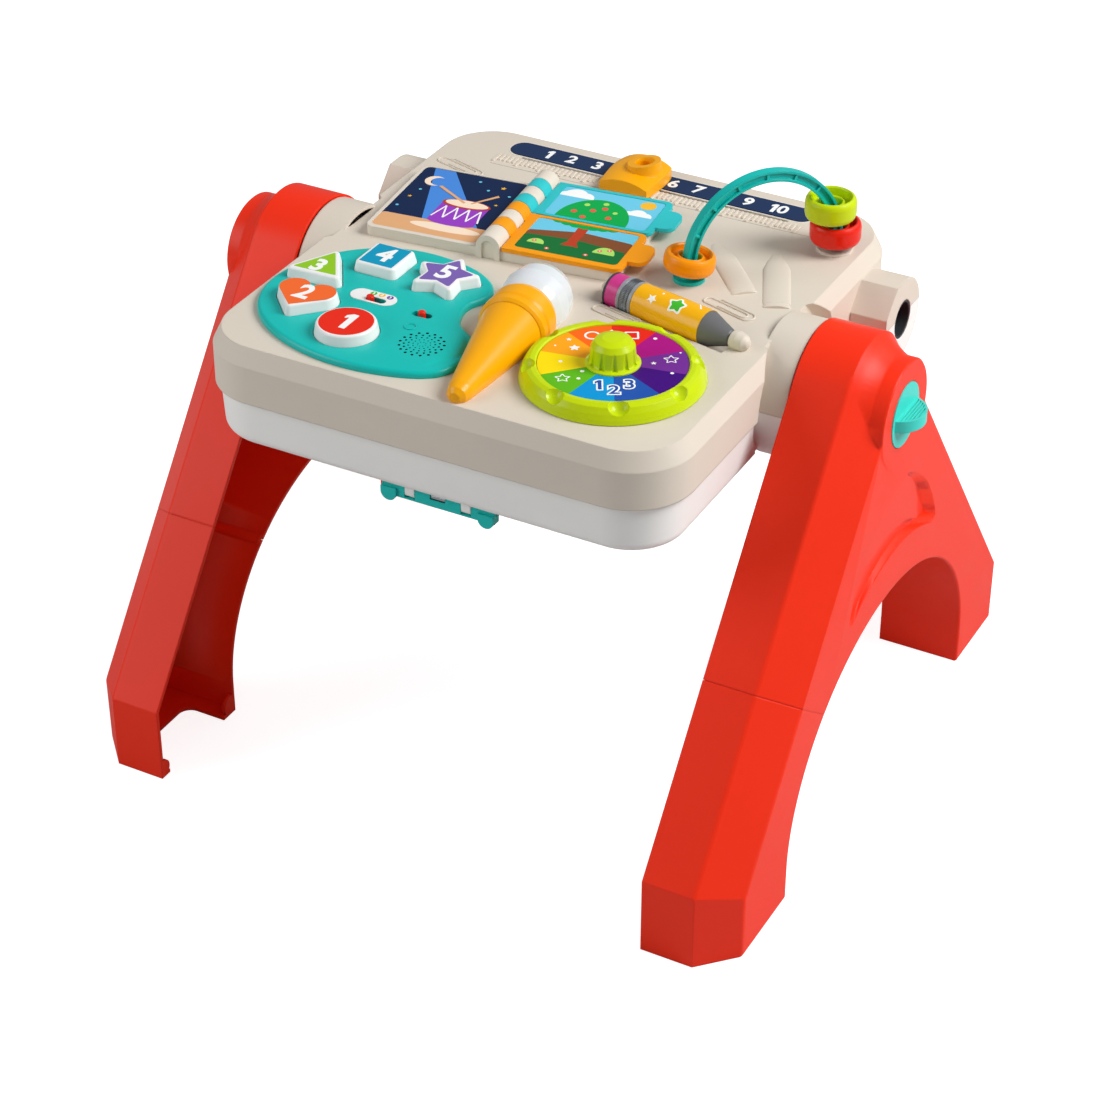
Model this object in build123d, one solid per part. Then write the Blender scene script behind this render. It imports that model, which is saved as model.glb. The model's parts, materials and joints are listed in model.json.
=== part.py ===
from build123d import *
import os
from math import asin, atan2, cos, degrees, hypot, radians, sin, sqrt, tan

# Musical activity table for a toddler.  Millimetres, +Z up, +X to the right and -Y towards the
# child.  The origin is on the floor, midway between the four feet.
# Two A-shaped side frames stand on the floor.  The tabletop hangs between them on two hub spindles
# and turns over about them, so that its flat underside becomes a drawing desk.

# ---------------------------------------------------------------- driving dimensions
WALL = 3.0                      # moulded wall of shells and legs
LIP = 0.3                       # gap between faces that move past each other
RUN = 0.05                      # radial running clearance of a shaft in its hole
SNUG = 0.03                     # radial clearance of a fixed pin in its hole

# side frames
HUB_Z = 338.0                   # height of the turning axis over the floor
HUB_R = 57.0                    # barrel round the hub
LEG_IN = 216.0                  # open inner side of a leg
LEG_EDGE = 259.0                # where the front face turns into the chamfer
LEG_OUT = 287.0                 # flat outer face
LEG_CHAMFER = 29.0              # how far the chamfer runs back from the front face
LEG_LEAN = 37.5                 # front line of the leg, degrees from upright
FOOT_Y = 281.0                  # front face of the foot
ARCH_HALF, ARCH_RISE, ARCH_FOOT_Z = 175.0, 149.0, 28.0   # arch between front and rear foot
BOSS_R = 43.5                   # round boss that carries the lock knob
BOSS_PROUD = 1.0
NECK_X, NECK_R = 267.5, 48.9    # waist between barrel and boss
WEB_IN, WEB_OUT = 240.0, 243.0  # web across the barrel
SLEEVE_IN = 222.0               # sleeve round the journal
STEM_R = 9.0                    # lock knob's stem and lugs
LUG_IN, LUG_OUT, LUG_REACH, LUG_HALF = 228.0, 232.5, 14.0, 3.5
SEAM_Y, SEAM_Z = -151.0, 161.5  # a point on the joint between front leg and frame
JOINT_GAP = 0.2
SOLE = 3.0                      # plate under each foot
SOLE_EDGE_X, SOLE_FRONT, SOLE_BACK = 254.0, 270.0, 192.0    # opening in the sole
KNOB_GRIP, KNOB_GRIP_OUT = 21.0, 15.5
KNOB_DISC_R, KNOB_SUNK = 25.6, 1.3

# tabletop shells
TOP_HALF_W, TOP_FRONT, TOP_BACK, TOP_CORNER = 199.0, -226.0, 201.0, 50.0
SEAM = 342.0                    # joint between top and bottom shell
BAND_Z = 373.0                  # top of the upright side band
DECK = 387.0                    # play surface
TOP_BEVEL = 7.0                 # how far the deck edge stands in from the side band
BASE_INSET = 4.0                # bottom shell stands in from the top shell
BASE_Z = 301.0                  # drawing surface on the underside
BASE_DRAFT = 3.0

# hubs and ears
BODY_BOSS_R, BODY_BOSS_X = 55.0, 214.5
DISH_X, DISH_R = 188.0, 61.0    # hollow round each hub boss
JOURNAL_R = 30.0
EAR_X, EAR_Y, EAR_R = 230.0, 134.0, 34.0
EAR_BORE_R = 14.0

# play pieces on the deck
PLATE_TOP = 392.5               # top of the palette plate
BUTTON_TOP = 400.8
BUTTON_TRAVEL = 3.0
WHEEL_X, WHEEL_Y, WHEEL_R, SEAT_R = 109.6, -130.0, 69.0, 55.6
PENCIL_X, PENCIL_Y, PENCIL_Z, PENCIL_R, PENCIL_TURN = 108.0, -32.0, 392.0, 14.5, -12.6
BOOK_X, BOOK_Y, BOOK_TURN = -67.0, 50.0, 6.1
BOOK_HALF_W, BOOK_FRONT, BOOK_BACK = 107.0, -62.5, 60.0
SPINE_Z, SPINE_R = 397.5, 10.0
MIC_X, MIC_Y, MIC_Z, MIC_TURN = 25.7, -207.0, 391.5, 5.6
ARCH_X, ARCH_Y, ARCH_Z, ARCH_TURN = 131.5, 80.5, 400.0, 51.4
ARCH_R, ROD_DEEP, ROD_WIDE = 63.0, 9.0, 7.5
BEAD_R = 20.3
RULER_LEFT, RULER_RIGHT, RULER_Y, RULER_W = -140.0, 135.0, 170.5, 23.0
SLOT_Y, SLOT_LEFT, SLOT_RIGHT = 155.5, -124.0, 119.0
SLIDER_X = -18.0
SLIDER_SECTIONS = [(133.5, 21.5, 7.0, 12.0), (150.0, 22.8, 8.5, 14.0),
                   (165.0, 23.5, 9.0, 15.0), (179.5, 21.5, 9.0, 15.5)]
SLIDER_HOLE = (-12.5, 161.5)
CLAMP_LEFT, CLAMP_RIGHT, CLAMP_Y, CLAMP_Z = -40.0, 56.0, -209.0, 296.8
CLAMP_LUGS = (-16.0, 32.0)
CLAMP_TAB = 6.6                 # half width of a finger tab
SPRING_X0, SPRING_X1 = 2.0, 14.0
PIN_R = 1.4
BATTERY_Y = 110.0


# ---------------------------------------------------------------- small helpers
def yz_face(points, x):
    """A flat polygon face across the X axis; points are (y, z)."""
    return Plane.YZ.offset(x) * make_face(Polyline(*points, close=True))


def along_x(radius, x0, x1, y=0.0, z=HUB_Z):
    """A round bar along X."""
    return extrude(Plane.YZ.offset(x0) * Pos(y, z) * Circle(radius), x1 - x0)


def block(x0, x1, y0, y1, z0, z1):
    """A box between two corners."""
    size = (x1 - x0, y1 - y0, z1 - z0)
    return Pos((x0 + x1) / 2, (y0 + y1) / 2, (z0 + z1) / 2) * Box(*size)


def post(radius, x, y, z0, z1):
    """An upright round bar."""
    return Pos(x, y, z0) * extrude(Circle(radius), z1 - z0)


def tray(half_w, front, back, corner, z0, z1, taper=0.0):
    """A rounded rectangular block that narrows upwards by the taper angle."""
    sheet = Pos(0, (front + back) / 2, z0) * RectangleRounded(2 * half_w, back - front, corner)
    return extrude(sheet, z1 - z0, taper=taper)


def tray_down(half_w, front, back, corner, z0, z1, taper=0.0):
    """The same block, narrowing downwards from z0 to z1."""
    plane = Plane(origin=(0, (front + back) / 2, z0), x_dir=(1, 0, 0), z_dir=(0, 0, -1))
    return extrude(plane * RectangleRounded(2 * half_w, back - front, corner), z0 - z1, taper=taper)


def turned(profile):
    """A solid of revolution about the local X axis from a closed (x, r) outline."""
    return revolve(make_face(Polyline(*profile, close=True)), Axis.X)


def turned_z(profile):
    """A solid of revolution about Z from a closed (r, z) outline."""
    face = Plane.XZ * make_face(Polyline(*profile, close=True))
    return revolve(face, Axis.Z)


def mirrored(shape):
    """The left-hand twin of a right-hand piece."""
    return mirror(shape, Plane.YZ)


def above(z):
    return block(-400, 400, -400, 400, z, 900)


def below(z):
    return block(-400, 400, -400, 400, -100, z)


# ---------------------------------------------------------------- side frames
def leg_outline(inset, x):
    """The A shape of a side frame, seen from the side and shrunk by the inset."""
    lean = radians(LEG_LEAN)
    side = FOOT_Y - inset
    reach = HUB_R - inset
    touch_y, touch_z = reach * cos(lean), HUB_Z + reach * sin(lean)
    knee_z = touch_z - (side - touch_y) / tan(lean)
    left = Polyline((-side, 0), (-side, knee_z), (-touch_y, touch_z))
    crown = ThreePointArc((-touch_y, touch_z), (0, HUB_Z + reach), (touch_y, touch_z))
    right = Polyline((touch_y, touch_z), (side, knee_z), (side, 0), (-side, 0))
    return Plane.YZ.offset(x) * make_face(left + crown + right)


def arch_cut(grow, x0, x1):
    """The open arch between front and rear foot."""
    half, rise = ARCH_HALF + grow, ARCH_RISE + grow
    crown = Pos(0, ARCH_FOOT_Z) * Ellipse(half, rise)
    legs = Pos(0, ARCH_FOOT_Z / 2 - 10) * Rectangle(2 * half, ARCH_FOOT_Z + 20)
    upper = crown & (Pos(0, ARCH_FOOT_Z + 200) * Rectangle(800, 400))
    return extrude(Plane.YZ.offset(x0) * (upper + legs), x1 - x0)


def leg_body(inset, x_in, x_edge, x_out, inset_out):
    """The solid A frame: straight from the inner side to the chamfer, then drawn in."""
    straight = extrude(leg_outline(inset, x_in), x_edge - x_in)
    slope = loft([leg_outline(inset, x_edge), leg_outline(inset_out, x_out)], ruled=True)
    return straight + slope


def panel_outline():
    """Outline of the pressed panel: along the arch, up the rear side and back down the front."""
    lower = ThreePointArc((-84, 187), (4, 214), (92, 189))
    rear = ThreePointArc((92, 189), (70, 236), (25, 274))
    front = ThreePointArc((25, 274), (-50, 250), (-84, 187))
    face = make_face(lower + rear + front)
    return fillet(face.vertices(), 5)


def panel_slope(shallow, deep):
    """What lies outside a slope in the outer face that goes from shallow in front to deep behind."""
    front, rear = -110, 120
    points = [(LEG_OUT - shallow, front), (LEG_OUT + 9, front), (LEG_OUT + 9, rear), (LEG_OUT - deep, rear)]
    return Pos(0, 0, 150) * extrude(make_face(Polyline(*points, close=True)), 200)


def leg_panel():
    """The pressed panel in the outer face: a groove along the arch and the rear, and a raised middle."""
    face = Plane.YZ.offset(LEG_OUT + 0.01) * panel_outline()
    groove = extrude(face, -10, taper=35) & panel_slope(2.5, 8.5)
    low = ThreePointArc((-110, 196), (-20, 231), (58, 208))
    rear = ThreePointArc((58, 208), (54, 240), (22, 276))
    rest = Polyline((22, 276), (-10, 330), (-140, 330), (-110, 196))
    middle = extrude(Plane.YZ.offset(LEG_OUT - 12) * make_face(low + rear + rest), 13, taper=20)
    return groove - (middle - panel_slope(0.01, 4.5))


def panel_bulge():
    """Room that the hollow leaves for the panel on the inner side."""
    face = Plane.YZ.offset(LEG_OUT) * offset(panel_outline(), WALL)
    return extrude(face, -16) & panel_slope(2.5 + WALL, 8.5 + WALL)


def hub_boss():
    """The round boss on the outer side, with a hollow neck down from the barrel."""
    face, bevel, neck_end = LEG_OUT + BOSS_PROUD, 1.5, NECK_X + 10
    neck = ThreePointArc((LEG_EDGE, HUB_R), (NECK_X, NECK_R), (neck_end, BOSS_R))
    rest = Polyline((neck_end, BOSS_R), (face - bevel, BOSS_R), (face, BOSS_R - bevel), (face, 0),
                    (LEG_EDGE, 0), (LEG_EDGE, HUB_R))
    return Pos(0, 0, HUB_Z) * revolve(make_face(neck + rest), Axis.X)


def sole_opening(side):
    """The rounded opening in the sole of a foot."""
    width, length = 2 * (SOLE_EDGE_X - LEG_IN), SOLE_FRONT - SOLE_BACK
    sheet = Pos(LEG_IN, side * (SOLE_FRONT + SOLE_BACK) / 2, -1) * RectangleRounded(width, length, 11)
    return extrude(sheet, SOLE + 2)


def foot_sole(side):
    """Sole plate of a foot, and the rounded rim that stands up at its inner side."""
    y0, y1 = sorted((side * FOOT_Y, side * ARCH_HALF))
    plate = block(LEG_IN - 2, LEG_OUT, y0, y1, -1, SOLE)
    for y, radius in ((FOOT_Y - 3, 8.0), (ARCH_HALF + 6, 9.0)):
        plate = plate + along_x(radius, LEG_IN - 2, LEG_IN + WALL, side * y, radius)
    return plate


def side_frame_shell():
    """Front leg, rear leg and hub of the right side as one open-backed moulding."""
    run, rise = LEG_CHAMFER, LEG_OUT - LEG_EDGE
    slant = hypot(run, rise)
    edge_in = LEG_EDGE - WALL * (slant - rise) / run
    inset_out = (run * (rise - WALL) + WALL * slant) / rise
    outer = leg_body(0, LEG_IN, LEG_EDGE, LEG_OUT, LEG_CHAMFER)
    outer = outer + hub_boss()
    outer = outer - leg_panel() - arch_cut(0, LEG_IN - 1, LEG_OUT + 1)
    hollow = leg_body(WALL, LEG_IN - 1, edge_in, LEG_OUT - WALL, inset_out)
    hollow = hollow - arch_cut(WALL, LEG_IN - 2, LEG_OUT) - panel_bulge()
    hollow = hollow - foot_sole(-1) - foot_sole(1)
    hollow = hollow + sole_opening(-1) + sole_opening(1)
    shell = outer - hollow
    barrel = along_x(HUB_R - 0.5, LEG_IN + 2, WEB_OUT) - along_x(HUB_R - WALL, LEG_IN, WEB_IN)
    sleeve = along_x(JOURNAL_R + 4, SLEEVE_IN, WEB_OUT)
    knob_seat = along_x(STEM_R + 4, LEG_EDGE + 3, LEG_OUT)
    shell = shell + barrel + sleeve + knob_seat
    shell = shell - along_x(JOURNAL_R + RUN, LEG_IN - 9, WEB_OUT + 7)
    shell = shell - along_x(STEM_R + RUN, LEG_EDGE - 4, LEG_OUT + 9)
    return shell - along_x(KNOB_DISC_R + 0.4, LEG_OUT - KNOB_SUNK - 0.2, LEG_OUT + 9)


def seam_block(gap):
    """Everything on the floor side of the joint between front leg and frame."""
    lean = radians(LEG_LEAN)
    turn = Pos(0, SEAM_Y, SEAM_Z) * Rot(-LEG_LEAN, 0, 0)
    side = turn * Pos(LEG_IN + 40, -60, -200 - gap) * Box(200, 420, 400)
    return side & block(100, 400, -400, -60, -50, 300)


def snap_tongue():
    """The plug of the front leg that slides up inside the frame, with its snap loop."""
    turn = Pos(0, SEAM_Y, SEAM_Z) * Rot(-LEG_LEAN, 0, 0)
    plate = turn * Pos(LEG_OUT - WALL - 1.6, 9, 4) * Box(2.4, 40, 64)
    loop = turn * Pos(LEG_OUT - WALL - 4.5, 9, 14) * Rot(0, 90, 0)
    ring = extrude(SlotOverall(40, 26), 4) - extrude(SlotOverall(34, 20), 4)
    root = turn * Pos(LEG_OUT - WALL - 0.8, 9, -14) * Box(4, 40, 27)
    return plate + root + loop * Pos(0, 0, -2) * ring


def leg_ribs():
    """Two cross ribs inside the hollow front leg."""
    turn = Pos(0, SEAM_Y, SEAM_Z) * Rot(-LEG_LEAN, 0, 0)
    ribs = [turn * Pos(LEG_OUT - WALL - 4, 4, -z) * Box(8, 46, 2) for z in (36, 76)]
    return ribs[0] + ribs[1]


def right_side():
    """The right frame and its plugged-in front leg."""
    shell = side_frame_shell()
    frame = shell - seam_block(-JOINT_GAP)
    leg = (shell & seam_block(JOINT_GAP)) + leg_ribs()
    tongue = snap_tongue()
    return frame, leg + tongue


def lock_knob():
    """Quarter-turn knob: a disc with a half-round grooved grip and a stem with two lugs."""
    face = LEG_OUT + BOSS_PROUD + 0.6
    thick = 4.8
    disc = along_x(KNOB_DISC_R, LEG_OUT - KNOB_SUNK, face)
    grip_plane = Plane(origin=(face - 0.2, 0, HUB_Z), x_dir=(0, 1, 0), z_dir=(0, 0, 1))
    rim = ThreePointArc((KNOB_GRIP, 0), (0, -KNOB_GRIP_OUT), (-KNOB_GRIP, 0))
    half = make_face(Line((-KNOB_GRIP, 0), (KNOB_GRIP, 0)) + rim)
    grip = extrude(grip_plane * half, thick, both=True)
    inside = extrude(grip_plane * offset(half, -1.8), thick + 1, both=True)
    inside = inside - block(200, 400, -60, 60, HUB_Z - thick + 0.9, HUB_Z + thick - 0.9)
    for k in range(5):
        x = face + 2.2 + 2.3 * k
        grip = grip - (inside & block(x, x + 1.1, -KNOB_GRIP, KNOB_GRIP, HUB_Z - 9, HUB_Z + 9))
    stem = along_x(STEM_R, LUG_IN, LEG_OUT)
    lugs = block(LUG_IN, LUG_OUT, -LUG_REACH, LUG_REACH, HUB_Z - LUG_HALF, HUB_Z + LUG_HALF)
    return disc + grip + stem + lugs


# ---------------------------------------------------------------- tabletop shells
def dish(grow):
    """The round hollow in the side of the tabletop that clears the hub barrel."""
    x0 = DISH_X - grow
    profile = [(x0, 0), (x0, DISH_R + grow), (TOP_HALF_W + 8, DISH_R + 14 + grow), (TOP_HALF_W + 8, 0)]
    return Pos(0, 0, HUB_Z) * turned(profile)


def ear_outline(inset):
    """Side view of an ear: flat faces in front and on top, round behind."""
    r = EAR_R - inset
    flat = 0.42 * r
    front = Polyline((0, r), (-flat, r), (-r, flat), (-r, -flat), (-flat, -r), (0, -r))
    back = ThreePointArc((0, -r), (r, 0), (0, r))
    return Pos(EAR_Y, HUB_Z) * make_face(front + back)


def ear(inset, x0, x1):
    return extrude(Plane.YZ.offset(x0) * ear_outline(inset), x1 - x0)


def both_sides(right):
    return right + mirrored(right)


BOSS_SEAM, SCREW_SEAT = 331.0, 322.0    # where the screw posts meet and where the heads sit
SHELL_SCREWS = [(-165, -196), (165, -192), (92, -208), (-160, 160), (148, 170), (0, 185)]


def outer_top():
    slope = degrees(atan2(TOP_BEVEL, DECK - BAND_Z))
    size = (TOP_HALF_W, TOP_FRONT, TOP_BACK, TOP_CORNER)
    return tray(*size, SEAM, BAND_Z) + tray(*size, BAND_Z, DECK, slope)


def inner_top():
    slope = degrees(atan2(TOP_BEVEL, DECK - BAND_Z))
    size = (TOP_HALF_W - WALL, TOP_FRONT + WALL, TOP_BACK - WALL, TOP_CORNER - WALL)
    turn_z = BAND_Z - 1.3
    return tray(*size, SEAM - 1, turn_z) + tray(*size, turn_z, DECK - WALL, slope)


def side_bosses(ear_x):
    """Hub boss and ear of the right side, before they are cut at the shell joint."""
    boss = along_x(BODY_BOSS_R, DISH_X - WALL, BODY_BOSS_X)
    return boss + ear(0, ear_x, EAR_X)


def side_hollows():
    """The room inside hub boss and ear, and their holes."""
    boss = along_x(BODY_BOSS_R - WALL, DISH_X - WALL - 1, BODY_BOSS_X - WALL)
    bore = along_x(JOURNAL_R + 0.2, 200, BODY_BOSS_X + 1)
    socket_hole = along_x(EAR_BORE_R + 2.1, 200, EAR_X + 1, EAR_Y)
    return boss + bore + ear(WALL, TOP_HALF_W - 14, EAR_X - WALL) + socket_hole


def button_hole(outline, x, y):
    return Pos(x, y, DECK - WALL - 1) * extrude(offset(outline(), 0.6), 20)


def top_shell():
    body = outer_top() - both_sides(dish(0))
    room = inner_top() - both_sides(dish(WALL))
    shell = body - room
    shell = shell + both_sides(side_bosses(TOP_HALF_W - 2.5) & above(SEAM))
    shell = shell - both_sides(side_hollows())
    for x, y in SHELL_SCREWS:
        shell = shell + post(5, x, y, BOSS_SEAM, DECK - WALL + 0.5) - post(1.6, x, y, BOSS_SEAM - 1, 352)
    # holes for the play pieces
    for name, outline, x, y in BUTTONS:
        shell = shell - button_hole(outline, x, y)
    for x, y, place in SWITCHES:
        shell = shell - (Pos(x, y, DECK - 5) * extrude(SlotOverall(24, 9), 6))
    shell = shell - post(16.5, SPEAKER_X, SPEAKER_Y, DECK - 5, DECK + 1)
    shell = shell + post(11.5, WHEEL_X, WHEEL_Y, DECK - 1, DECK + 2.3)
    shell = shell + post(8, WHEEL_X, WHEEL_Y, DECK - 8, DECK + 11.5)
    shell = shell - post(1.6, WHEEL_X, WHEEL_Y, DECK - 17, DECK + 13)
    slot = Pos((SLOT_LEFT + SLOT_RIGHT) / 2, SLOT_Y, DECK - 5)
    shell = shell - slot * extrude(SlotOverall(SLOT_RIGHT - SLOT_LEFT, 2.6), 8)
    place = pencil_place()
    shell = shell + (place * turned([(-64, 0), (-64, 18), (66, 18), (66, 0)]) & below(DECK))
    shell = shell + (place * pencil_nubs() & above(DECK - 1))
    shell = shell - place * turned([(-56.5, 0), (-56.5, 16), (59.5, 16), (59.5, 0)])
    shell = shell - place * turned([(-62, 0), (-62, 2 + SNUG), (64, 2 + SNUG), (64, 0)])
    shell = shell + post(14, *ARCH_FEET[1], DECK - 1, DECK + 2.6)
    rod_gap = Pos(ARCH_FEET[1][0], ARCH_FEET[1][1], DECK) * Rot(0, 0, ARCH_TURN)
    shell = shell - rod_gap * extrude(Rectangle(ROD_DEEP + 0.4, ROD_WIDE + 0.4), 5)
    for x, y in ARCH_FEET + BOOK_SCREWS + MIC_SCREWS:
        shell = shell - post(1.8, x, y, DECK - 5, DECK + 1)
    for x, y in BOARD_SCREWS:
        shell = shell + post(3.2, x, y, BOARD_Z1 + 0.1, DECK - WALL + 0.5)
        shell = shell - post(1.55, x, y, BOARD_Z0 - 5, DECK - WALL - 1.5)
    shell = shell - post(4.5, *MIC_LED, DECK - 5, DECK + 1)
    return shell


def outer_base():
    inset = BASE_INSET
    size = (TOP_HALF_W - inset, TOP_FRONT + inset, TOP_BACK - inset, TOP_CORNER - inset)
    solid = tray_down(*size, SEAM, BASE_Z, BASE_DRAFT)
    return fillet(solid.faces().sort_by(Axis.Z)[0].edges(), 9)


def inner_base():
    inset = BASE_INSET + WALL
    size = (TOP_HALF_W - inset, TOP_FRONT + inset, TOP_BACK - inset, TOP_CORNER - inset)
    solid = tray_down(*size, SEAM + 12, BASE_Z + WALL, BASE_DRAFT)
    return fillet(solid.faces().sort_by(Axis.Z)[0].edges(), 6)


def base_tongue():
    """The raised lip of the bottom shell that locates it inside the top shell."""
    inset = WALL + LIP
    size = (TOP_HALF_W - inset, TOP_FRONT + inset, TOP_BACK - inset, TOP_CORNER - inset)
    return tray(*size, SEAM - 2, SEAM + 8)


def bottom_shell():
    body = (outer_base() + base_tongue()) - both_sides(dish(0))
    room = inner_base() - both_sides(dish(WALL) & below(SEAM))
    shell = body - room
    shell = shell - both_sides(dish(WALL + 0.3) & above(SEAM))
    shell = shell + both_sides(side_bosses(TOP_HALF_W - BASE_INSET - 4) & below(SEAM))
    shell = shell - both_sides(side_hollows())
    for x, y in SHELL_SCREWS:
        shell = shell + post(6, x, y, BASE_Z + 1, BOSS_SEAM - 0.2)
        shell = shell - post(2.0, x, y, BASE_Z - 1, BOSS_SEAM + 1) - post(3.8, x, y, BASE_Z - 1, SCREW_SEAT)
    # room for the battery door and the paper clamp
    shell = shell + battery_block(37, 36, BASE_Z, BASE_Z + 6)
    shell = shell - battery_block(33, 32.3, BASE_Z - 1, BASE_Z + 2.8)
    shell = shell - battery_block(29.5, 24.5, BASE_Z - 1, BASE_Z + 7)
    shell = shell - post(1.55, *DOOR_SCREW, BASE_Z, BASE_Z + 6.5)
    for x, y in BOX_SCREWS:
        shell = shell - post(1.55, x, y, BASE_Z + 3.4, BASE_Z + 7)
    return shell + clamp_lugs()


# ---------------------------------------------------------------- hub spindles and ear sockets
def hub_spindle():
    """The round journal on which the tabletop turns; its flange is held between the shells."""
    inner, outer = 204.0, 246.0
    flange = along_x(45, inner, BODY_BOSS_X - WALL - 0.2)
    journal = along_x(JOURNAL_R, inner, outer)
    chamber = along_x(LUG_REACH + 3, inner - 4, LUG_OUT + 1)
    half, reach = LUG_HALF + 0.7, LUG_REACH + 0.8
    keyhole = along_x(STEM_R + 0.6, inner - 4, outer + 4)
    keyhole = keyhole + block(LUG_OUT - 2, outer + 4, -half, half, HUB_Z - reach, HUB_Z + reach)
    return flange + journal - chamber - keyhole


def ear_socket():
    """The blind dark socket in an ear."""
    tube = along_x(EAR_BORE_R + 2, 204, EAR_X - 0.4, EAR_Y)
    collar = along_x(EAR_BORE_R + 5, EAR_X - WALL - 2.2, EAR_X - WALL - 0.2, EAR_Y)
    return tube + collar - along_x(EAR_BORE_R, 206, EAR_X + 1, EAR_Y)


# ---------------------------------------------------------------- palette, buttons and electronics
def circle_outline(inset=0.0):
    return Circle(24.5 - inset)


def heart_outline(inset=0.0):
    """A soft heart with its point towards the child."""
    lobe_x, lobe_y, lobe_r, tip_y, tip_r = 11.5, 6.5, 14.0, -25.5, 4.0
    reach = hypot(lobe_x, lobe_y - tip_y)
    half = radians(90) - atan2(lobe_y - tip_y, lobe_x) + asin(lobe_r / reach)
    lobe_r, tip_y, tip_r = lobe_r - inset, tip_y + inset / sin(half), tip_r - inset / 2
    reach = hypot(lobe_x, lobe_y - tip_y)
    angle = atan2(lobe_y - tip_y, lobe_x) - asin(lobe_r / reach)
    half = radians(90) - angle
    side = sqrt(reach ** 2 - lobe_r ** 2)
    touch = (side * cos(angle), tip_y + side * sin(angle))
    start = (tip_r / tan(half) * cos(angle), tip_y + tip_r / tan(half) * sin(angle))
    low = (0, tip_y + tip_r / sin(half) - tip_r)
    notch = (0, lobe_y + sqrt(lobe_r ** 2 - lobe_x ** 2))
    top = (lobe_x + lobe_r * cos(radians(40)), lobe_y + lobe_r * sin(radians(40)))
    right = ThreePointArc(notch, top, touch) + Line(touch, start)
    left_touch, left_start, left_top = (-touch[0], touch[1]), (-start[0], start[1]), (-top[0], top[1])
    left = Line(left_start, left_touch) + ThreePointArc(left_touch, left_top, notch)
    return make_face(right + ThreePointArc(start, low, left_start) + left)


def triangle_outline(inset=0.0):
    return offset(make_face(Polyline((-19, -12.5), (19, -10.5), (-1, 21.5), close=True)), 4.5 - inset)


def square_outline(inset=0.0):
    return RectangleRounded(38 - 2 * inset, 38 - 2 * inset, 5 - inset / 2)


def star_outline(inset=0.0):
    points = []
    for k in range(10):
        r = 24.0 if k % 2 == 0 else 13.0
        a = radians(90 + 36 * k)
        points.append((r * cos(a), r * sin(a)))
    return offset(make_face(Polyline(*points, close=True)), 4.0 - inset)


BUTTONS = [
    ("button_1_circle", circle_outline, -91.5, -171.5),
    ("button_2_heart", heart_outline, -143.5, -149.0),
    ("button_3_triangle", triangle_outline, -155.0, -104.0),
    ("button_4_square", square_outline, -119.5, -69.0),
    ("button_5_star", star_outline, -65.0, -71.0),
]
BUTTON_LOW = DECK - WALL - 2.3   # underside of a button's flange
BOARD_Z0, BOARD_Z1, PAD_Z = 374.8, 376.4, 377.4
# each switch: slot centre x and y, and the knob's place along the slot
SWITCHES = [(-97.0, -120.5, -5.0), (-55.0, -123.5, 0.0)]
BOARD_SCREWS = [(-174, -184), (-58, -184), (-174, -60), (-96, -103)]
SPEAKER_X, SPEAKER_Y = -32.5, -162.0
MIC_LED = (11.5, -64.0)
MIC_SCREWS = [(21.3, -162.2), (15.9, -107.5)]
BOX_SCREWS = [(-34, BATTERY_Y), (34, BATTERY_Y)]
DOOR_SCREW = (0, BATTERY_Y + 28.2)
ARCH_FEET = [(ARCH_X + k * ARCH_R * cos(radians(ARCH_TURN)), ARCH_Y + k * ARCH_R * sin(radians(ARCH_TURN)))
             for k in (-1, 1)]
BOOK_SCREWS = []
for u, v in ((-90, -45), (-90, 45), (90, -45), (90, 45)):
    turn = radians(BOOK_TURN)
    BOOK_SCREWS.append((BOOK_X + u * cos(turn) - v * sin(turn), BOOK_Y + u * sin(turn) + v * cos(turn)))


def palette_outline():
    """Kidney-shaped artist's palette with the thumb notch at the right."""
    back = [(-24, -119), (-31, -103), (-31.5, -90), (-26.5, -78), (-27, -64), (-44, -45.5), (-78, -34.5),
            (-116, -35), (-152, -53), (-178, -86), (-187, -124), (-177, -162), (-152, -188), (-114, -205.5),
            (-72, -211.5), (-33, -206), (0, -188), (6, -163), (-5, -134)]
    return make_face(Spline(*back, periodic=True))


def palette_plate():
    """Raised plate with holes for the buttons and the switches."""
    face = palette_outline()
    for name, outline, x, y in BUTTONS:
        face = face - Pos(x, y) * offset(outline(), 0.6)
    for x, y, place in SWITCHES:
        face = face - Pos(x, y) * SlotOverall(17, 6.6)
    plate = Pos(0, 0, DECK) * extrude(face, PLATE_TOP - DECK)
    top = plate.faces().sort_by(Axis.Z)[-1]
    plate = fillet(top.outer_wire().edges(), 3.5)
    return plate - mic_shadow(0.4)


def button(outline, x, y):
    """A hollow, slightly drafted cap with a flange under the deck that keeps it in its hole."""
    straight = PLATE_TOP - BUTTON_LOW
    height = BUTTON_TOP - BUTTON_LOW
    upper = loft([Pos(0, 0, straight) * outline(), Pos(0, 0, height) * outline(1.8)], ruled=True)
    cap = extrude(outline(), straight) + upper
    cap = fillet(cap.faces().sort_by(Axis.Z)[-1].edges(), 2.3)
    flange = extrude(offset(outline(), 1.6), 2)
    hollow = extrude(offset(outline(), -4.0), height - 2.4)
    return Pos(x, y, BUTTON_LOW) * (cap + flange - hollow)


def switch_slide(x, y, place):
    """A small slide switch: a round red knob on a plate under the palette."""
    knob = post(3.0, x + place, y, DECK - 4.2, PLATE_TOP + 3.2)
    knob = fillet(knob.faces().sort_by(Axis.Z)[-1].edges(), 1.2)
    return knob + block(x + place - 6, x + place + 6, y - 4, y + 4, DECK - 5.4, DECK - 3.4)


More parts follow.
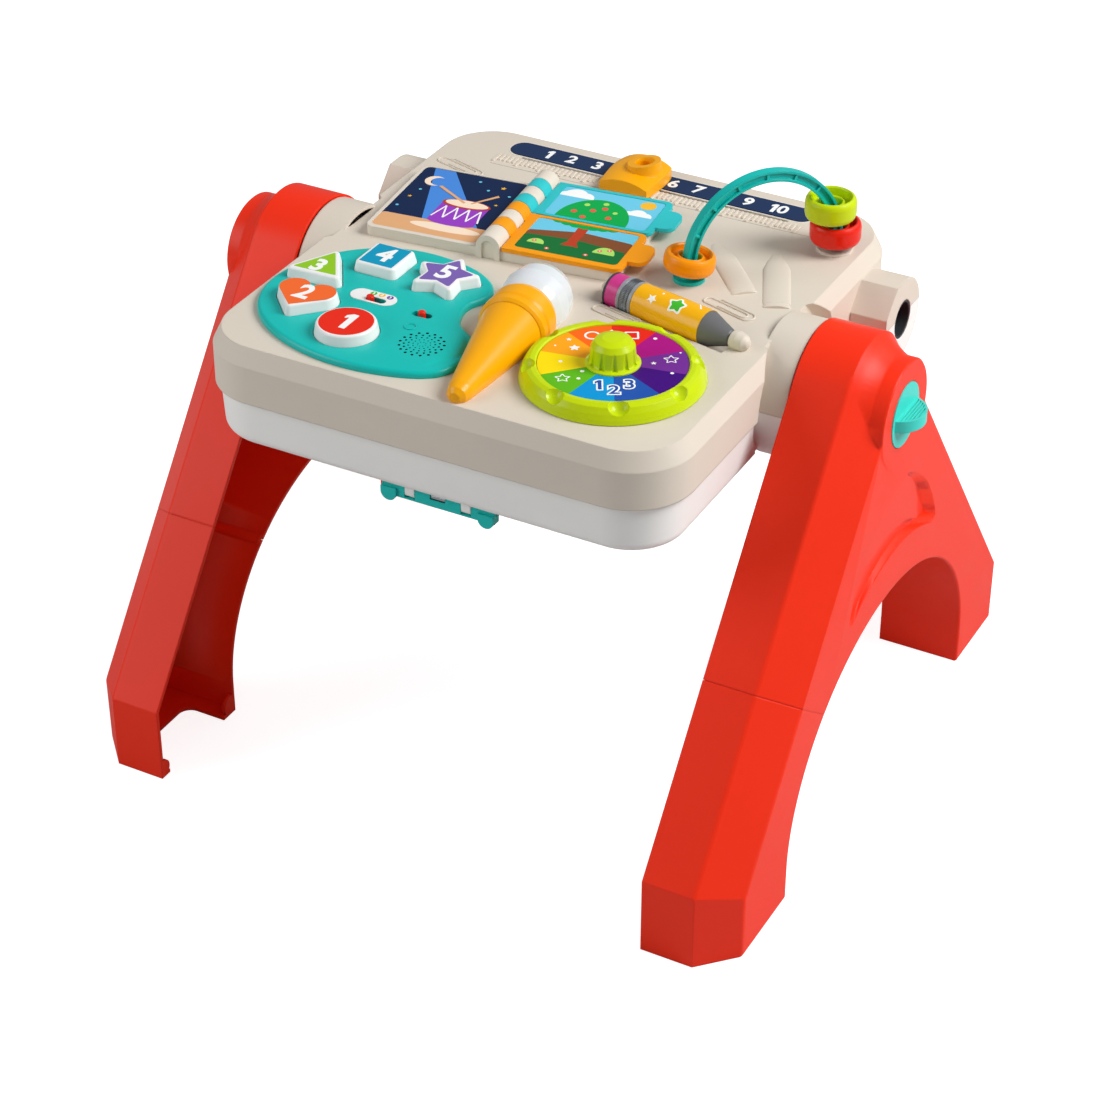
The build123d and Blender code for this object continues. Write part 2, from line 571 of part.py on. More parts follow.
def switch_pill():
    """White printed surround of the mode switch."""
    x, y, place = SWITCHES[0]
    pill = Pos(x - 4, y + 3, PLATE_TOP) * extrude(SlotOverall(39, 17), 0.4)
    return pill - (Pos(x, y, PLATE_TOP - 1) * extrude(SlotOverall(17, 6.6), 3))


def board_block(z0, z1):
    return block(-178, -54, -188, -52, z0, z1)


def key_pad():
    """Rubber sheet with one dome under each button."""
    sheet = board_block(BOARD_Z1 + 0.05, PAD_Z)
    for name, outline, x, y in BUTTONS:
        sheet = sheet + post(6, x, y, PAD_Z - 0.4, BUTTON_LOW - BUTTON_TRAVEL - 0.5)
    for x, y, place in SWITCHES:
        sheet = sheet - block(x - 12, x + 12, y - 6, y + 6, BOARD_Z0, PAD_Z + 2)
    for x, y in BOARD_SCREWS:
        sheet = sheet - block(x - 5, x + 5, y - 5, y + 5, BOARD_Z0, PAD_Z + 2)
    return sheet


def circuit_board():
    """Board with the two slide switches on top and a chip below."""
    board = board_block(BOARD_Z0, BOARD_Z1) + block(-140, -122, -130, -112, BOARD_Z0 - 1.6, BOARD_Z0 + 0.1)
    for x, y, place in SWITCHES:
        board = board + block(x - 11, x + 11, y - 5, y + 5, BOARD_Z1 - 0.1, BOARD_Z1 + 5)
    for x, y in BOARD_SCREWS:
        board = board - post(1.8, x, y, BOARD_Z0 - 5, BOARD_Z1 + 4)
    return board


def speaker():
    """Round driver below the grille: rim, cone housing and magnet."""
    profile = [(0, 362), (11, 362), (11, 368), (18, 376), (20, 376), (20, 383.8), (18, 383.8),
               (9, 377), (0, 377)]
    return Pos(SPEAKER_X, SPEAKER_Y, 0) * turned_z(profile)


def battery_block(half_x, half_y, z0, z1):
    return block(-half_x, half_x, BATTERY_Y - half_y, BATTERY_Y + half_y, z0, z1)


def battery_box():
    """Open-bottomed tub for three cells, screwed on over the opening in the bottom shell."""
    z0 = BASE_Z + 6
    tub = battery_block(31, 26, z0, z0 + 19) + battery_block(37, 6, z0, z0 + 2)
    tub = tub - battery_block(29, 24, z0 - 1, z0 + 17)
    for x, y in BOX_SCREWS:
        tub = tub - post(1.8, x, y, z0 - 1, z0 + 3)
    return tub


def cell_rows():
    return [BATTERY_Y + 15.4 * k for k in (-1, 0, 1)]


def batteries():
    """Three AA cells side by side."""
    cells = []
    for y in cell_rows():
        can = along_x(7.1, -24.6, 24.6, y, BASE_Z + 14.5)
        cells.append(can + along_x(2.7, 24.5, 25.6, y, BASE_Z + 14.5))
    return Compound(children=cells)


def battery_contacts():
    """Contact plates at both ends of each cell."""
    plates = []
    for y in cell_rows():
        plates.append(block(-28.8, -28.2, y - 5, y + 5, BASE_Z + 9, BASE_Z + 20))
        plates.append(block(28.2, 28.8, y - 5, y + 5, BASE_Z + 9, BASE_Z + 20))
        coil = along_x(4, -28.3, -24.7, y, BASE_Z + 14.5) - along_x(3, -30, -24, y, BASE_Z + 14.5)
        plates[-2] = plates[-2] + coil
        plates[-1] = plates[-1] + along_x(3, 25.7, 28.3, y, BASE_Z + 14.5)
    return Compound(children=plates)


def battery_door():
    """Flush door held by one screw."""
    door = battery_block(32.7, 32, BASE_Z, BASE_Z + 2.6) - post(1.7, *DOOR_SCREW, BASE_Z - 1, BASE_Z + 4)
    return door - post(3.0, *DOOR_SCREW, BASE_Z - 1, BASE_Z + 1.2)


def screw(x, y, head_z, length, head_r=3.2, shank_r=1.5):
    """A pan-head screw driven upwards; head_z is the underside of its head."""
    return post(head_r, x, y, head_z - 2.2, head_z) + post(shank_r, x, y, head_z - 0.1, head_z + length)


def shell_screws():
    return Compound(children=[screw(x, y, SCREW_SEAT, 20) for x, y in SHELL_SCREWS])


def battery_door_screw():
    """Screw with its head sunk in the door."""
    head = post(2.8, *DOOR_SCREW, BASE_Z + 0.1, BASE_Z + 1.2)
    return head + post(1.5, *DOOR_SCREW, BASE_Z + 1.1, BASE_Z + 5.6)


def small_screws():
    """The small screws: arch, book, microphone, circuit board and battery box."""
    from_below = [screw(x, y, DECK - WALL, 8) for x, y in ARCH_FEET]
    from_below += [screw(x, y, DECK - WALL, 6.5) for x, y in BOOK_SCREWS]
    from_below += [screw(x, y, DECK - WALL, 10) for x, y in MIC_SCREWS]
    from_below += [screw(x, y, BOARD_Z0 - 0.1, 7, 2.8) for x, y in BOARD_SCREWS]
    box = []
    for x, y in BOX_SCREWS:
        box.append(post(2.8, x, y, BASE_Z + 8.05, BASE_Z + 10) + post(1.5, x, y, BASE_Z + 3.8, BASE_Z + 9))
    return Compound(children=from_below + box)


# ---------------------------------------------------------------- microphone
def mic_place():
    return Pos(MIC_X, MIC_Y, MIC_Z) * Rot(0, 0, MIC_TURN) * Rot(1.6, 0, 0) * Rot(0, 0, 90)


def mic_shadow(grow):
    """Footprint of the microphone on the deck."""
    body = mic_place() * turned([(-12, 0), (-10, 8 + grow), (0, 10.5 + grow), (92, 25.5 + grow),
                                 (122, 27 + grow), (124, 0)])
    return body & above(DECK - 1)


def mic_handle():
    """Tapered cone with a rounded tip and a two-step collar, sunk a little into the deck."""
    cone = turned([(-10, 0), (-9.5, 4), (-6, 7.6), (0, 9.6), (90, 24.6), (92, 24.6), (92, 0)])
    lower_ring = turned([(91, 0), (91, 25.2), (93.5, 27.2), (99, 27.4), (101.5, 25.6), (101.5, 0)])
    upper_ring = turned([(101, 0), (101, 25.2), (104, 26.6), (116, 26.6), (121, 24.4), (121, 0)])
    socket = turned([(112, 0), (112, 22.0), (122, 22.0), (122, 0)])
    mic = (mic_place() * (cone + lower_ring + upper_ring - socket)) & above(DECK)
    for x, y in MIC_SCREWS:
        mic = mic - post(1.55, x, y, DECK - 1, DECK + 8)
    return mic


def bulb_profile(t):
    """Half outline of the dome, t thinner than the outside."""
    return [(112.2 if t == 0 else 112.0, 0), (112.2 if t == 0 else 112.0, 21.8 - t), (121.2, 21.8 - t),
            (121.2 + t / 2, 24 - t), (128, 26.4 - t), (140, 27.2 - t), (152, 25.2 - t), (162, 19.8 - t),
            (168.5 - t, 11.5 - t / 2), (171 - t, 0)]


def mic_bulb():
    """Translucent dome, lit from inside."""
    outside = turned(bulb_profile(0))
    inside = turned(bulb_profile(2.0))
    return (mic_place() * (outside - inside)) & above(DECK)


def mic_led():
    """Light under the dome."""
    x, y = MIC_LED
    return block(x - 9, x + 9, y - 9, y + 9, 382.2, 383.8) + post(3, x, y, 383, 394)


# ---------------------------------------------------------------- spinner
def spinner_wheel():
    """Lime wheel with a sunk seat for the picture disc and eight finger dimples in the rim."""
    low, seat, rim = DECK + 2.5, DECK + 10, DECK + 14
    profile = [(8 + RUN, low), (8 + RUN, seat), (SEAT_R, seat), (SEAT_R, rim - 1), (57, rim), (60.5, rim),
               (64, rim - 1.6), (66.6, rim - 6), (68.2, rim - 10), (WHEEL_R, DECK + 0.4),
               (66, DECK + 0.4), (64, seat - 3.4), (12, seat - 3.4), (12, low)]
    wheel = turned_z(profile)
    for k in range(8):
        a = radians(31 + 45 * k)
        wheel = wheel - Pos(65 * cos(a), 65 * sin(a), rim + 1.5) * Sphere(8.5)
    return Pos(WHEEL_X, WHEEL_Y, 0) * wheel


def spinner_disc():
    """Flat picture ring on the wheel's seat."""
    ring = extrude(Circle(SEAT_R - 0.3), 2.4) - extrude(Circle(13.5), 2.4)
    return Pos(WHEEL_X, WHEEL_Y, DECK + 10) * ring


def spinner_knob():
    """Domed knob with grip grooves, pressed on the disc."""
    profile = [(0, 402.2), (12, 402.2), (12, 397), (13.4, 397), (13.4, 399.4), (20.5, 399.4), (20.5, 400.6),
               (18, 402), (17.4, 403), (16.2, 414.5), (13.5, 418.5), (8, 420.6), (0, 421.2)]
    knob = turned_z(profile)
    for k in range(12):
        a = radians(30 * k)
        knob = knob - Pos(18.2 * cos(a), 18.2 * sin(a), 401.6) * extrude(Circle(2.2), 13.5)
    return Pos(WHEEL_X, WHEEL_Y, 0) * knob


def spinner_screw():
    """Retaining screw with a wide head in the middle of the wheel."""
    head = post(10, WHEEL_X, WHEEL_Y, 398.6, 400.6)
    return head + post(1.5, WHEEL_X, WHEEL_Y, 384, 399)


# ---------------------------------------------------------------- pencil roller
def pencil_place():
    return Pos(PENCIL_X, PENCIL_Y, PENCIL_Z) * Rot(0, 0, PENCIL_TURN)


def pencil_nubs():
    """The two humps in the deck that hold the ends of the pencil axle."""
    left = turned([(-66, 0), (-65, 4), (-62, 6), (-56, 6.6), (-56, 0)])
    right = turned([(59, 0), (59, 7), (64, 7.6), (70, 6.4), (73.5, 3), (74.5, 0)])
    return left + right


def pencil_piece(profile):
    bore = turned([(-80, 0), (-80, 2 + RUN), (80, 2 + RUN), (80, 0)])
    return pencil_place() * (turned(profile) - bore)


def pencil_eraser():
    r = PENCIL_R
    return pencil_piece([(-55.5, 0), (-55.5, r - 2.5), (-54, r - 0.4), (-42.5, r - 0.4), (-42.5, 0)])


def pencil_ferrule():
    """Metal-coloured band with raised rings."""
    r = PENCIL_R
    profile = [(-42.5, 0)]
    for k in range(4):
        x = -42.5 + 3.6 * k
        profile += [(x, r - 0.5), (x + 0.6, r), (x + 2.4, r), (x + 3.0, r - 0.5)]
    profile += [(-28.5, r - 0.5), (-28.5, 0)]
    return pencil_piece(profile)


def pencil_barrel():
    r = PENCIL_R
    return pencil_piece([(-28.5, 0), (-28.5, r), (35.5, r), (35.5, 0)])


def pencil_tip():
    r = PENCIL_R
    return pencil_piece([(35.5, 0), (35.5, r - 0.3), (57, 6.4), (58.5, 5), (58.5, 0)])


def pencil_axle():
    return pencil_place() * turned([(-61.5, 0), (-61.5, 2), (63.5, 2), (63.5, 0)])


# ---------------------------------------------------------------- book
KNUCKLE_EDGES = [-64.5, -44, -29, -15, 0, 15, 29, 44, 60]     # along the spine, front to back
FIXED_KNUCKLES = (0, 2, 5, 7)
ORANGE_KNUCKLES = (1, 3)
TEAL_KNUCKLES = (4, 6)


def book_place():
    return Pos(BOOK_X, BOOK_Y, 0) * Rot(0, 0, BOOK_TURN)


def knuckle(k, radius, trim):
    v0, v1 = KNUCKLE_EDGES[k] + trim, KNUCKLE_EDGES[k + 1] - trim
    disc = Plane(origin=(0, v0, SPINE_Z), x_dir=(1, 0, 0), z_dir=(0, 1, 0)) * Circle(radius)
    return extrude(disc, v1 - v0)


def spine_bar(radius, v0, v1):
    disc = Plane(origin=(0, v0, SPINE_Z), x_dir=(1, 0, 0), z_dir=(0, 1, 0)) * Circle(radius)
    return extrude(disc, v1 - v0)


def book_base():
    """Both fixed pages and the fixed rings of the spine."""
    left = Pos(-BOOK_HALF_W / 2, (BOOK_FRONT + 54) / 2) * RectangleRounded(BOOK_HALF_W, 54 - BOOK_FRONT, 7)
    right = Pos(BOOK_HALF_W / 2, (BOOK_FRONT + 58) / 2) * RectangleRounded(BOOK_HALF_W, 58 - BOOK_FRONT, 7)
    middle = Pos(0, (BOOK_FRONT + 54) / 2) * Rectangle(30, 54 - BOOK_FRONT)
    base = Pos(0, 0, DECK) * extrude(left + middle + right, 8.3)
    label = Pos(-58.5, -3, DECK + 7.8) * extrude(RectangleRounded(91, 110, 5), 2)
    base = base - label
    for k in range(8):
        v0, v1 = KNUCKLE_EDGES[k], KNUCKLE_EDGES[k + 1]
        if k in FIXED_KNUCKLES:
            base = base + knuckle(k, SPINE_R, 0) + block(-SPINE_R, SPINE_R, v0, v1, DECK, SPINE_Z)
        else:
            base = base - knuckle(k, SPINE_R + 0.5, -0.2)
    front = KNUCKLE_EDGES[0]
    slot = Plane(origin=(0, front + 1.6, SPINE_Z), x_dir=(1, 0, 0), z_dir=(0, -1, 0)) * Circle(5.2)
    base = base - extrude(slot, 4) - block(-5.2, 5.2, front - 1, front + 1.6, DECK - 1, SPINE_Z)
    base = base - spine_bar(PIN_R + 0.1 + SNUG, -58.1, 56.1)
    for x, y in BOOK_SCREWS:
        hole = post(1.55, x, y, DECK - 1, DECK + 5)
        base = base - book_place().inverse() * hole
    return book_place() * base


def page(knuckles, v0, v1, tab_v0, tab_v1, print_v0, print_v1):
    """A stiff flip page: its rings on the spine, the leaf with a sunk picture and a thumb tab."""
    z0, z1 = SPINE_Z - 1.7, SPINE_Z + 1.7
    sheet = Pos(60.5, (v0 + v1) / 2) * RectangleRounded(99, v1 - v0, 7)
    sheet = sheet + Pos(25, (v0 + v1) / 2) * RectangleRounded(28, v1 - v0, 1.5)
    sheet = sheet + Pos(110, (tab_v0 + tab_v1) / 2) * RectangleRounded(28, tab_v1 - tab_v0, 9)
    shape = Pos(0, 0, z0) * extrude(sheet, z1 - z0)
    picture = Pos(61.5, (print_v0 + print_v1) / 2) * RectangleRounded(86, print_v1 - print_v0, 4)
    for z in (z0 - 1, z1 - 0.4):
        shape = shape - Pos(0, 0, z) * extrude(picture, 1.4)
    for k in knuckles:
        a, b = KNUCKLE_EDGES[k] + 0.25, KNUCKLE_EDGES[k + 1] - 0.25
        shape = shape + knuckle(k, SPINE_R, 0.25) + block(4, 14, a, b, z0, z1)
    shape = shape - spine_bar(PIN_R + 0.1 + RUN, -70, 70)
    return book_place() * shape


def orange_page():
    return page(ORANGE_KNUCKLES, BOOK_FRONT - 1.5, -0.6, -48, -17, BOOK_FRONT + 5, -4)


def teal_page():
    return page(TEAL_KNUCKLES, 0.6, BOOK_BACK - 1, 13, 44, 4, BOOK_BACK - 5)


def book_pin():
    return book_place() * spine_bar(PIN_R + 0.1, -58, 56)


# ---------------------------------------------------------------- ruler and its slider
def ruler_strip():
    x = (RULER_LEFT + RULER_RIGHT) / 2
    return Pos(x, RULER_Y, DECK) * extrude(RectangleRounded(RULER_RIGHT - RULER_LEFT, RULER_W, 11), 0.8)


def ruler_slider():
    """Pencil-sharpener shaped slider: a domed wedge with a round collar and hole at the rear."""
    z0 = DECK + 1.1
    sections = []
    # each section: place along Y, half width, height of the sides and of the dome
    for y, half, side, top in SLIDER_SECTIONS:
        plane = Plane(origin=(SLIDER_X, y, z0), x_dir=(1, 0, 0), z_dir=(0, -1, 0))
        floor = Polyline((half, side), (half, 0), (-half, 0), (-half, side))
        dome = ThreePointArc((-half, side), (0, top), (half, side))
        sections.append(plane * make_face(floor + dome))
    body = loft(sections)
    collar = turned_z([(0, z0), (16.8, z0), (16.8, 396), (14.4, 401), (13.2, 411), (0, 411)])
    top = Pos(0, 0, 407) * Rot(0, -10, 0) * Pos(0, 0, 20) * Box(80, 80, 40)
    hole = turned_z([(0, z0 + 2), (7.2, z0 + 2), (7.2, 404), (9.5, 412), (0, 412)])
    body = body + Pos(*SLIDER_HOLE, 0) * (collar - top) - Pos(*SLIDER_HOLE, 0) * hole
    return body - block(SLIDER_X - 12, SLIDER_X + 12, SLOT_Y - 0.9, SLOT_Y + 0.9, z0 - 1, z0 + 1.5)


def slider_keeper():
    """The flat keeper under the deck and its neck through the slot."""
    plate = block(SLIDER_X - 16, SLIDER_X + 16, SLOT_Y - 5, SLOT_Y + 5, 381.4, DECK - WALL - LIP)
    neck = block(SLIDER_X - 12, SLIDER_X + 12, SLOT_Y - 0.9, SLOT_Y + 0.9, 383, DECK + 2.6)
    return plate + neck


# ---------------------------------------------------------------- bead arch
def arch_place():
    """Local X runs between the arch's feet and local Z is up, from the arch's centre."""
    return Pos(ARCH_X, ARCH_Y, ARCH_Z) * Rot(0, 0, ARCH_TURN)


def half_ring(x0, x1, half_width, y=0.0):
    """Half a ring of rectangular section, standing on its two ends."""
    face = Pos((x0 + x1) / 2, y) * Rectangle(x1 - x0, 2 * half_width)
    return revolve(face, Axis((0, 0, 0), (0, -1, 0)), 180)


def bead_arch():
    """I-section rod bent to a half circle, with cross webs and a collar at each foot."""
    half = ROD_WIDE / 2
    rod = half_ring(ARCH_R - ROD_DEEP / 2, ARCH_R + ROD_DEEP / 2, half)
    for side in (-1, 1):
        rod = rod - half_ring(ARCH_R - 2.3, ARCH_R + 2.3, 1.15, side * (half - 0.9))
    for k in range(1, 8):
        web = Rot(0, -22.5 * k, 0) * Pos(ARCH_R, 0, 0) * Box(5, ROD_WIDE - 1, 2)
        rod = rod + web
    for k in (-1, 1):
        leg = Pos(k * ARCH_R, 0, DECK - ARCH_Z)
        rod = rod + leg * extrude(Rectangle(ROD_DEEP, ROD_WIDE), ARCH_Z - DECK + 0.5)
        rod = rod + leg * Pos(0, 0, 3) * extrude(Circle(8.4), 5.9)
        rod = rod - leg * extrude(Circle(1.55), 9)
    disc = Pos(-ARCH_R, 0, DECK - ARCH_Z) * (extrude(Circle(12.5), 3.2) - extrude(Circle(1.6), 4))
    return arch_place() * (rod + disc)


def bead(angle, height, tilt):
    """Chunky barrel with a bowl on each side and a hub round the rod."""
    h, r, bore, hub, hub_r = height / 2, BEAD_R, 8.4, 4.8, 10.8
    upper = [(bore, 0), (bore, hub - 0.8), (bore + 0.8, hub), (hub_r - 0.8, hub), (hub_r, hub - 0.8),
             (hub_r, 1.8), (15.0, 1.8), (15.6, h - 1.2), (16.6, h), (17.6, h - 0.1), (18.9, h - 1.0),
             (19.8, h - 2.6), (r, h - 4.8)]
    lower = [(x, -z) for x, z in reversed(upper)]
    ring = turned_z(upper + lower[:-1])
    a = radians(angle)
    return arch_place() * Pos(ARCH_R * cos(a), 0, ARCH_R * sin(a)) * Rot(0, tilt, 0) * ring


# each bead: its place round the arch in degrees from the right foot, its height and how it leans
BEADS = {"bead_orange": (177.1, 14.8, 8.5), "bead_lime": (24.1, 18.4, 0), "bead_red": (3.7, 18.0, 0)}


# ---------------------------------------------------------------- paper clamp
def clamp_lugs():
    """Two lugs under the front edge that carry the clamp's pin."""
    lugs = None
    for x in CLAMP_LUGS:
        lug = block(x - 4, x + 4, CLAMP_Y - 3.6, CLAMP_Y + 3.6, CLAMP_Z - 2, BASE_Z + 1)
        lug = lug + along_x(3.6, x - 4, x + 4, CLAMP_Y, CLAMP_Z - 2)
        lug = lug - along_x(PIN_R + SNUG, x - 5, x + 5, CLAMP_Y, CLAMP_Z)
        lugs = lug if lugs is None else lugs + lug
    return lugs


def paper_clamp():
    """Bar with a half-round finger tab at each end; its jaw grips paper against the underside."""
    bar = along_x(3.4, CLAMP_LEFT, CLAMP_RIGHT, CLAMP_Y, CLAMP_Z)
    bar = bar + block(CLAMP_LEFT, CLAMP_RIGHT, CLAMP_Y - 3.4, CLAMP_Y + 3.4, CLAMP_Z - 7.4, CLAMP_Z)
    jaw_points = [(CLAMP_Y, CLAMP_Z - 4.6), (CLAMP_Y + 9, CLAMP_Z - 1), (CLAMP_Y + 9, BASE_Z - 0.3),
                  (CLAMP_Y + 7, BASE_Z - 0.3), (CLAMP_Y + 5.4, CLAMP_Z), (CLAMP_Y, CLAMP_Z)]
    clamp = bar + extrude(yz_face(jaw_points, CLAMP_LEFT), CLAMP_RIGHT - CLAMP_LEFT)
    for x in (CLAMP_LEFT + CLAMP_TAB, CLAMP_RIGHT - CLAMP_TAB):
        plane = Plane(origin=(x, CLAMP_Y - 2, CLAMP_Z), x_dir=(1, 0, 0), z_dir=(0, -1, 0))
        outline = Pos(0, -2.9) * Rectangle(2 * CLAMP_TAB, 5.8) + Pos(0, -4.6) * Circle(CLAMP_TAB)
        clamp = clamp + extrude((plane * outline) - (plane * (Pos(0, 5) * Rectangle(40, 10))), 3.4)
    for x in CLAMP_LUGS:
        clamp = clamp - block(x - 4.4, x + 4.4, CLAMP_Y - 6, CLAMP_Y + 10, CLAMP_Z - 6.2, BASE_Z + 1)
    clamp = clamp - along_x(3.5, SPRING_X0 - 0.5, SPRING_X1 + 0.5, CLAMP_Y, CLAMP_Z)
    clamp = clamp - block(SPRING_X0 - 0.5, SPRING_X1 + 0.5, CLAMP_Y - 3.5, CLAMP_Y + 3.5, CLAMP_Z, BASE_Z)
    return clamp - along_x(PIN_R + RUN, CLAMP_LEFT - 1, CLAMP_RIGHT + 1, CLAMP_Y, CLAMP_Z)


def clamp_pin():
    return along_x(PIN_R, CLAMP_LEFT + 0.5, CLAMP_RIGHT - 0.5, CLAMP_Y, CLAMP_Z)


def clamp_spring():
    """Coil round the pin, with one leg against the underside of the table."""
    coil = along_x(2.8, SPRING_X0, SPRING_X1, CLAMP_Y, CLAMP_Z)
    coil = coil - along_x(1.9, SPRING_X0 - 1, SPRING_X1 + 1, CLAMP_Y, CLAMP_Z)
    leg = block(SPRING_X0, SPRING_X0 + 1, CLAMP_Y + 1.9, CLAMP_Y + 2.7, CLAMP_Z, BASE_Z - 0.05)
    return coil + leg


# ---------------------------------------------------------------- write the pieces
def all_pieces():
    frame, leg = right_side()
    knob, spindle, socket = lock_knob(), hub_spindle(), ear_socket()
    pieces = {
        "right_leg_frame": frame, "left_leg_frame": mirrored(frame),
        "right_front_leg": leg, "left_front_leg": mirrored(leg),
        "right_lock_knob": knob, "left_lock_knob": mirrored(knob),
        "right_hub_spindle": spindle, "left_hub_spindle": mirrored(spindle),
        "right_ear_socket": socket, "left_ear_socket": mirrored(socket),
        "top_shell": top_shell(), "bottom_shell": bottom_shell(),
        "palette_plate": palette_plate(), "mode_switch_plate": switch_pill(),
        "key_pad": key_pad(), "circuit_board": circuit_board(), "speaker": speaker(),
        "battery_box": battery_box(), "batteries": batteries(), "battery_contacts": battery_contacts(),
        "battery_door": battery_door(), "battery_door_screw": battery_door_screw(),
        "shell_screws": shell_screws(), "small_screws": small_screws(),
        "mic_handle": mic_handle(), "mic_bulb": mic_bulb(), "mic_led": mic_led(),
        "spinner_wheel": spinner_wheel(), "spinner_disc": spinner_disc(),
        "spinner_knob": spinner_knob(), "spinner_screw": spinner_screw(),
        "pencil_eraser": pencil_eraser(), "pencil_ferrule": pencil_ferrule(),
        "pencil_barrel": pencil_barrel(), "pencil_tip": pencil_tip(), "pencil_axle": pencil_axle(),
        "book_base": book_base(), "orange_page": orange_page(), "teal_page": teal_page(),
        "book_pin": book_pin(),
        "ruler_strip": ruler_strip(), "ruler_slider": ruler_slider(), "slider_keeper": slider_keeper(),
        "bead_arch": bead_arch(),
        "paper_clamp": paper_clamp(), "clamp_pin": clamp_pin(), "clamp_spring": clamp_spring(),
    }
    for name, outline, x, y in BUTTONS:
        pieces[name] = button(outline, x, y)
    for name, switch in zip(("mode_switch_knob", "power_switch_knob"), SWITCHES):
        pieces[name] = switch_slide(*switch)
    for name, place in BEADS.items():
        pieces[name] = bead(*place)
    return pieces


os.makedirs("parts", exist_ok=True)
for node, shape in all_pieces().items():
    export_step(shape, f"parts/{node}.step")
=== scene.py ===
import bpy
import bmesh
import json
from math import acos, atan2, cos, degrees, pi, radians, sin, tan
from mathutils import Matrix, Vector


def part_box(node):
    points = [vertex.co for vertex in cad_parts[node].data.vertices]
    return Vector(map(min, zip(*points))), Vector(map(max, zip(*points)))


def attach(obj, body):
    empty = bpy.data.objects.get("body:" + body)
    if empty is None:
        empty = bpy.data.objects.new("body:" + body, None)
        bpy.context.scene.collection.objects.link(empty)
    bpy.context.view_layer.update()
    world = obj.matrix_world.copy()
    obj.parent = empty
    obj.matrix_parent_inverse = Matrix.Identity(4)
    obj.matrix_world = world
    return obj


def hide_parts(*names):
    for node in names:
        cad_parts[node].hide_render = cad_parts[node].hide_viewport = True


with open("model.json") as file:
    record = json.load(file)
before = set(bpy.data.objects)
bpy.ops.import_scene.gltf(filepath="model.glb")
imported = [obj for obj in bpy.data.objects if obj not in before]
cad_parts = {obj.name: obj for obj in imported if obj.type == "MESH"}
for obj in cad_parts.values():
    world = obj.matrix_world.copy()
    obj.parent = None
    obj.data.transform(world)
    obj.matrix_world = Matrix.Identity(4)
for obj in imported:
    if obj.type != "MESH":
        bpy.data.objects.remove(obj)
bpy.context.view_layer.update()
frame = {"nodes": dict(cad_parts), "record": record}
NODES = frame["nodes"]
MM = 0.001

# ---------------------------------------------------------------- camera, floor and light
CAMERA_LENS, SENSOR_WIDTH = 94.9, 36.0
CAMERA_PLACE = (0.9367, -1.7561, 1.4500)
CAMERA_RIGHT = (0.8797, 0.4755, 0.0)
CAMERA_UP = (-0.2634, 0.4873, 0.8325)
CAMERA_BACK = (0.3959, -0.7324, 0.5539)
WHITE_LIGHT, SKY_COLOUR, SKY_LIGHT = (1, 1, 1, 1), (0.95, 0.97, 1.0, 1), 0.27
FLOOR_GREY, FLOOR_LIFT, FLOOR_RADIUS = (0.55, 0.55, 0.55, 1), 0.84, 6.0


def put_camera():
    camera_data = bpy.data.cameras.new("camera")
    camera_data.lens = CAMERA_LENS
    camera_data.sensor_width = SENSOR_WIDTH
    camera_data.clip_end = 50
    camera = bpy.data.objects.new("camera", camera_data)
    bpy.context.collection.objects.link(camera)
    axes = Matrix((CAMERA_RIGHT, CAMERA_UP, CAMERA_BACK)).transposed().to_4x4()
    camera.matrix_world = Matrix.Translation(CAMERA_PLACE) @ axes
    bpy.context.scene.camera = camera


def area_light(name, place, target, size, power):
    lamp = bpy.data.lights.new(name, "AREA")
    lamp.shape = "DISK"
    lamp.size = size
    lamp.energy = power
    holder = bpy.data.objects.new(name, lamp)
    bpy.context.collection.objects.link(holder)
    holder.location = place
    holder.rotation_euler = (Vector(target) - Vector(place)).to_track_quat("-Z", "Y").to_euler()


def seen_directly(tree):
    """1 for rays from the camera, also through the dome, and 0 for light and gloss."""
    path = tree.nodes.new("ShaderNodeLightPath")
    either = tree.nodes.new("ShaderNodeMath")
    either.operation = "MAXIMUM"
    tree.links.new(path.outputs["Is Camera Ray"], either.inputs[0])
    tree.links.new(path.outputs["Is Transmission Ray"], either.inputs[1])
    return either.outputs[0]


def set_world():
    """A dim sky that lights the object, in front of a white background."""
    world = bpy.data.worlds.new("studio")
    world.use_nodes = True
    tree = world.node_tree
    sky = tree.nodes["Background"]
    sky.inputs["Color"].default_value = SKY_COLOUR
    sky.inputs["Strength"].default_value = SKY_LIGHT
    bright = tree.nodes.new("ShaderNodeBackground")
    bright.inputs["Color"].default_value = WHITE_LIGHT
    bright.inputs["Strength"].default_value = 1.0
    mix = tree.nodes.new("ShaderNodeMixShader")
    tree.links.new(seen_directly(tree), mix.inputs["Fac"])
    tree.links.new(sky.outputs[0], mix.inputs[1])
    tree.links.new(bright.outputs[0], mix.inputs[2])
    tree.links.new(mix.outputs[0], tree.nodes["World Output"].inputs["Surface"])
    bpy.context.scene.world = world


def lay_floor():
    """A pale floor just under the feet, which looks white but throws little light back."""
    bpy.ops.object.select_all(action="DESELECT")
    bpy.ops.mesh.primitive_circle_add(vertices=96, radius=FLOOR_RADIUS, fill_type="NGON",
                                      location=(0, 0, -0.5 * MM))
    floor = bpy.context.object
    floor.name = "floor"
    material = bpy.data.materials.new("floor_white")
    material.use_nodes = True
    tree = material.node_tree
    shader = tree.nodes["Principled BSDF"]
    shader.inputs["Base Color"].default_value = FLOOR_GREY
    shader.inputs["Roughness"].default_value = 0.9
    shader.inputs["Specular IOR Level"].default_value = 0.0
    shader.inputs["Emission Color"].default_value = WHITE_LIGHT
    lift = tree.nodes.new("ShaderNodeMath")
    lift.operation = "MULTIPLY"
    lift.inputs[1].default_value = FLOOR_LIFT
    tree.links.new(seen_directly(tree), lift.inputs[0])
    tree.links.new(lift.outputs[0], shader.inputs["Emission Strength"])
    floor.data.materials.append(material)


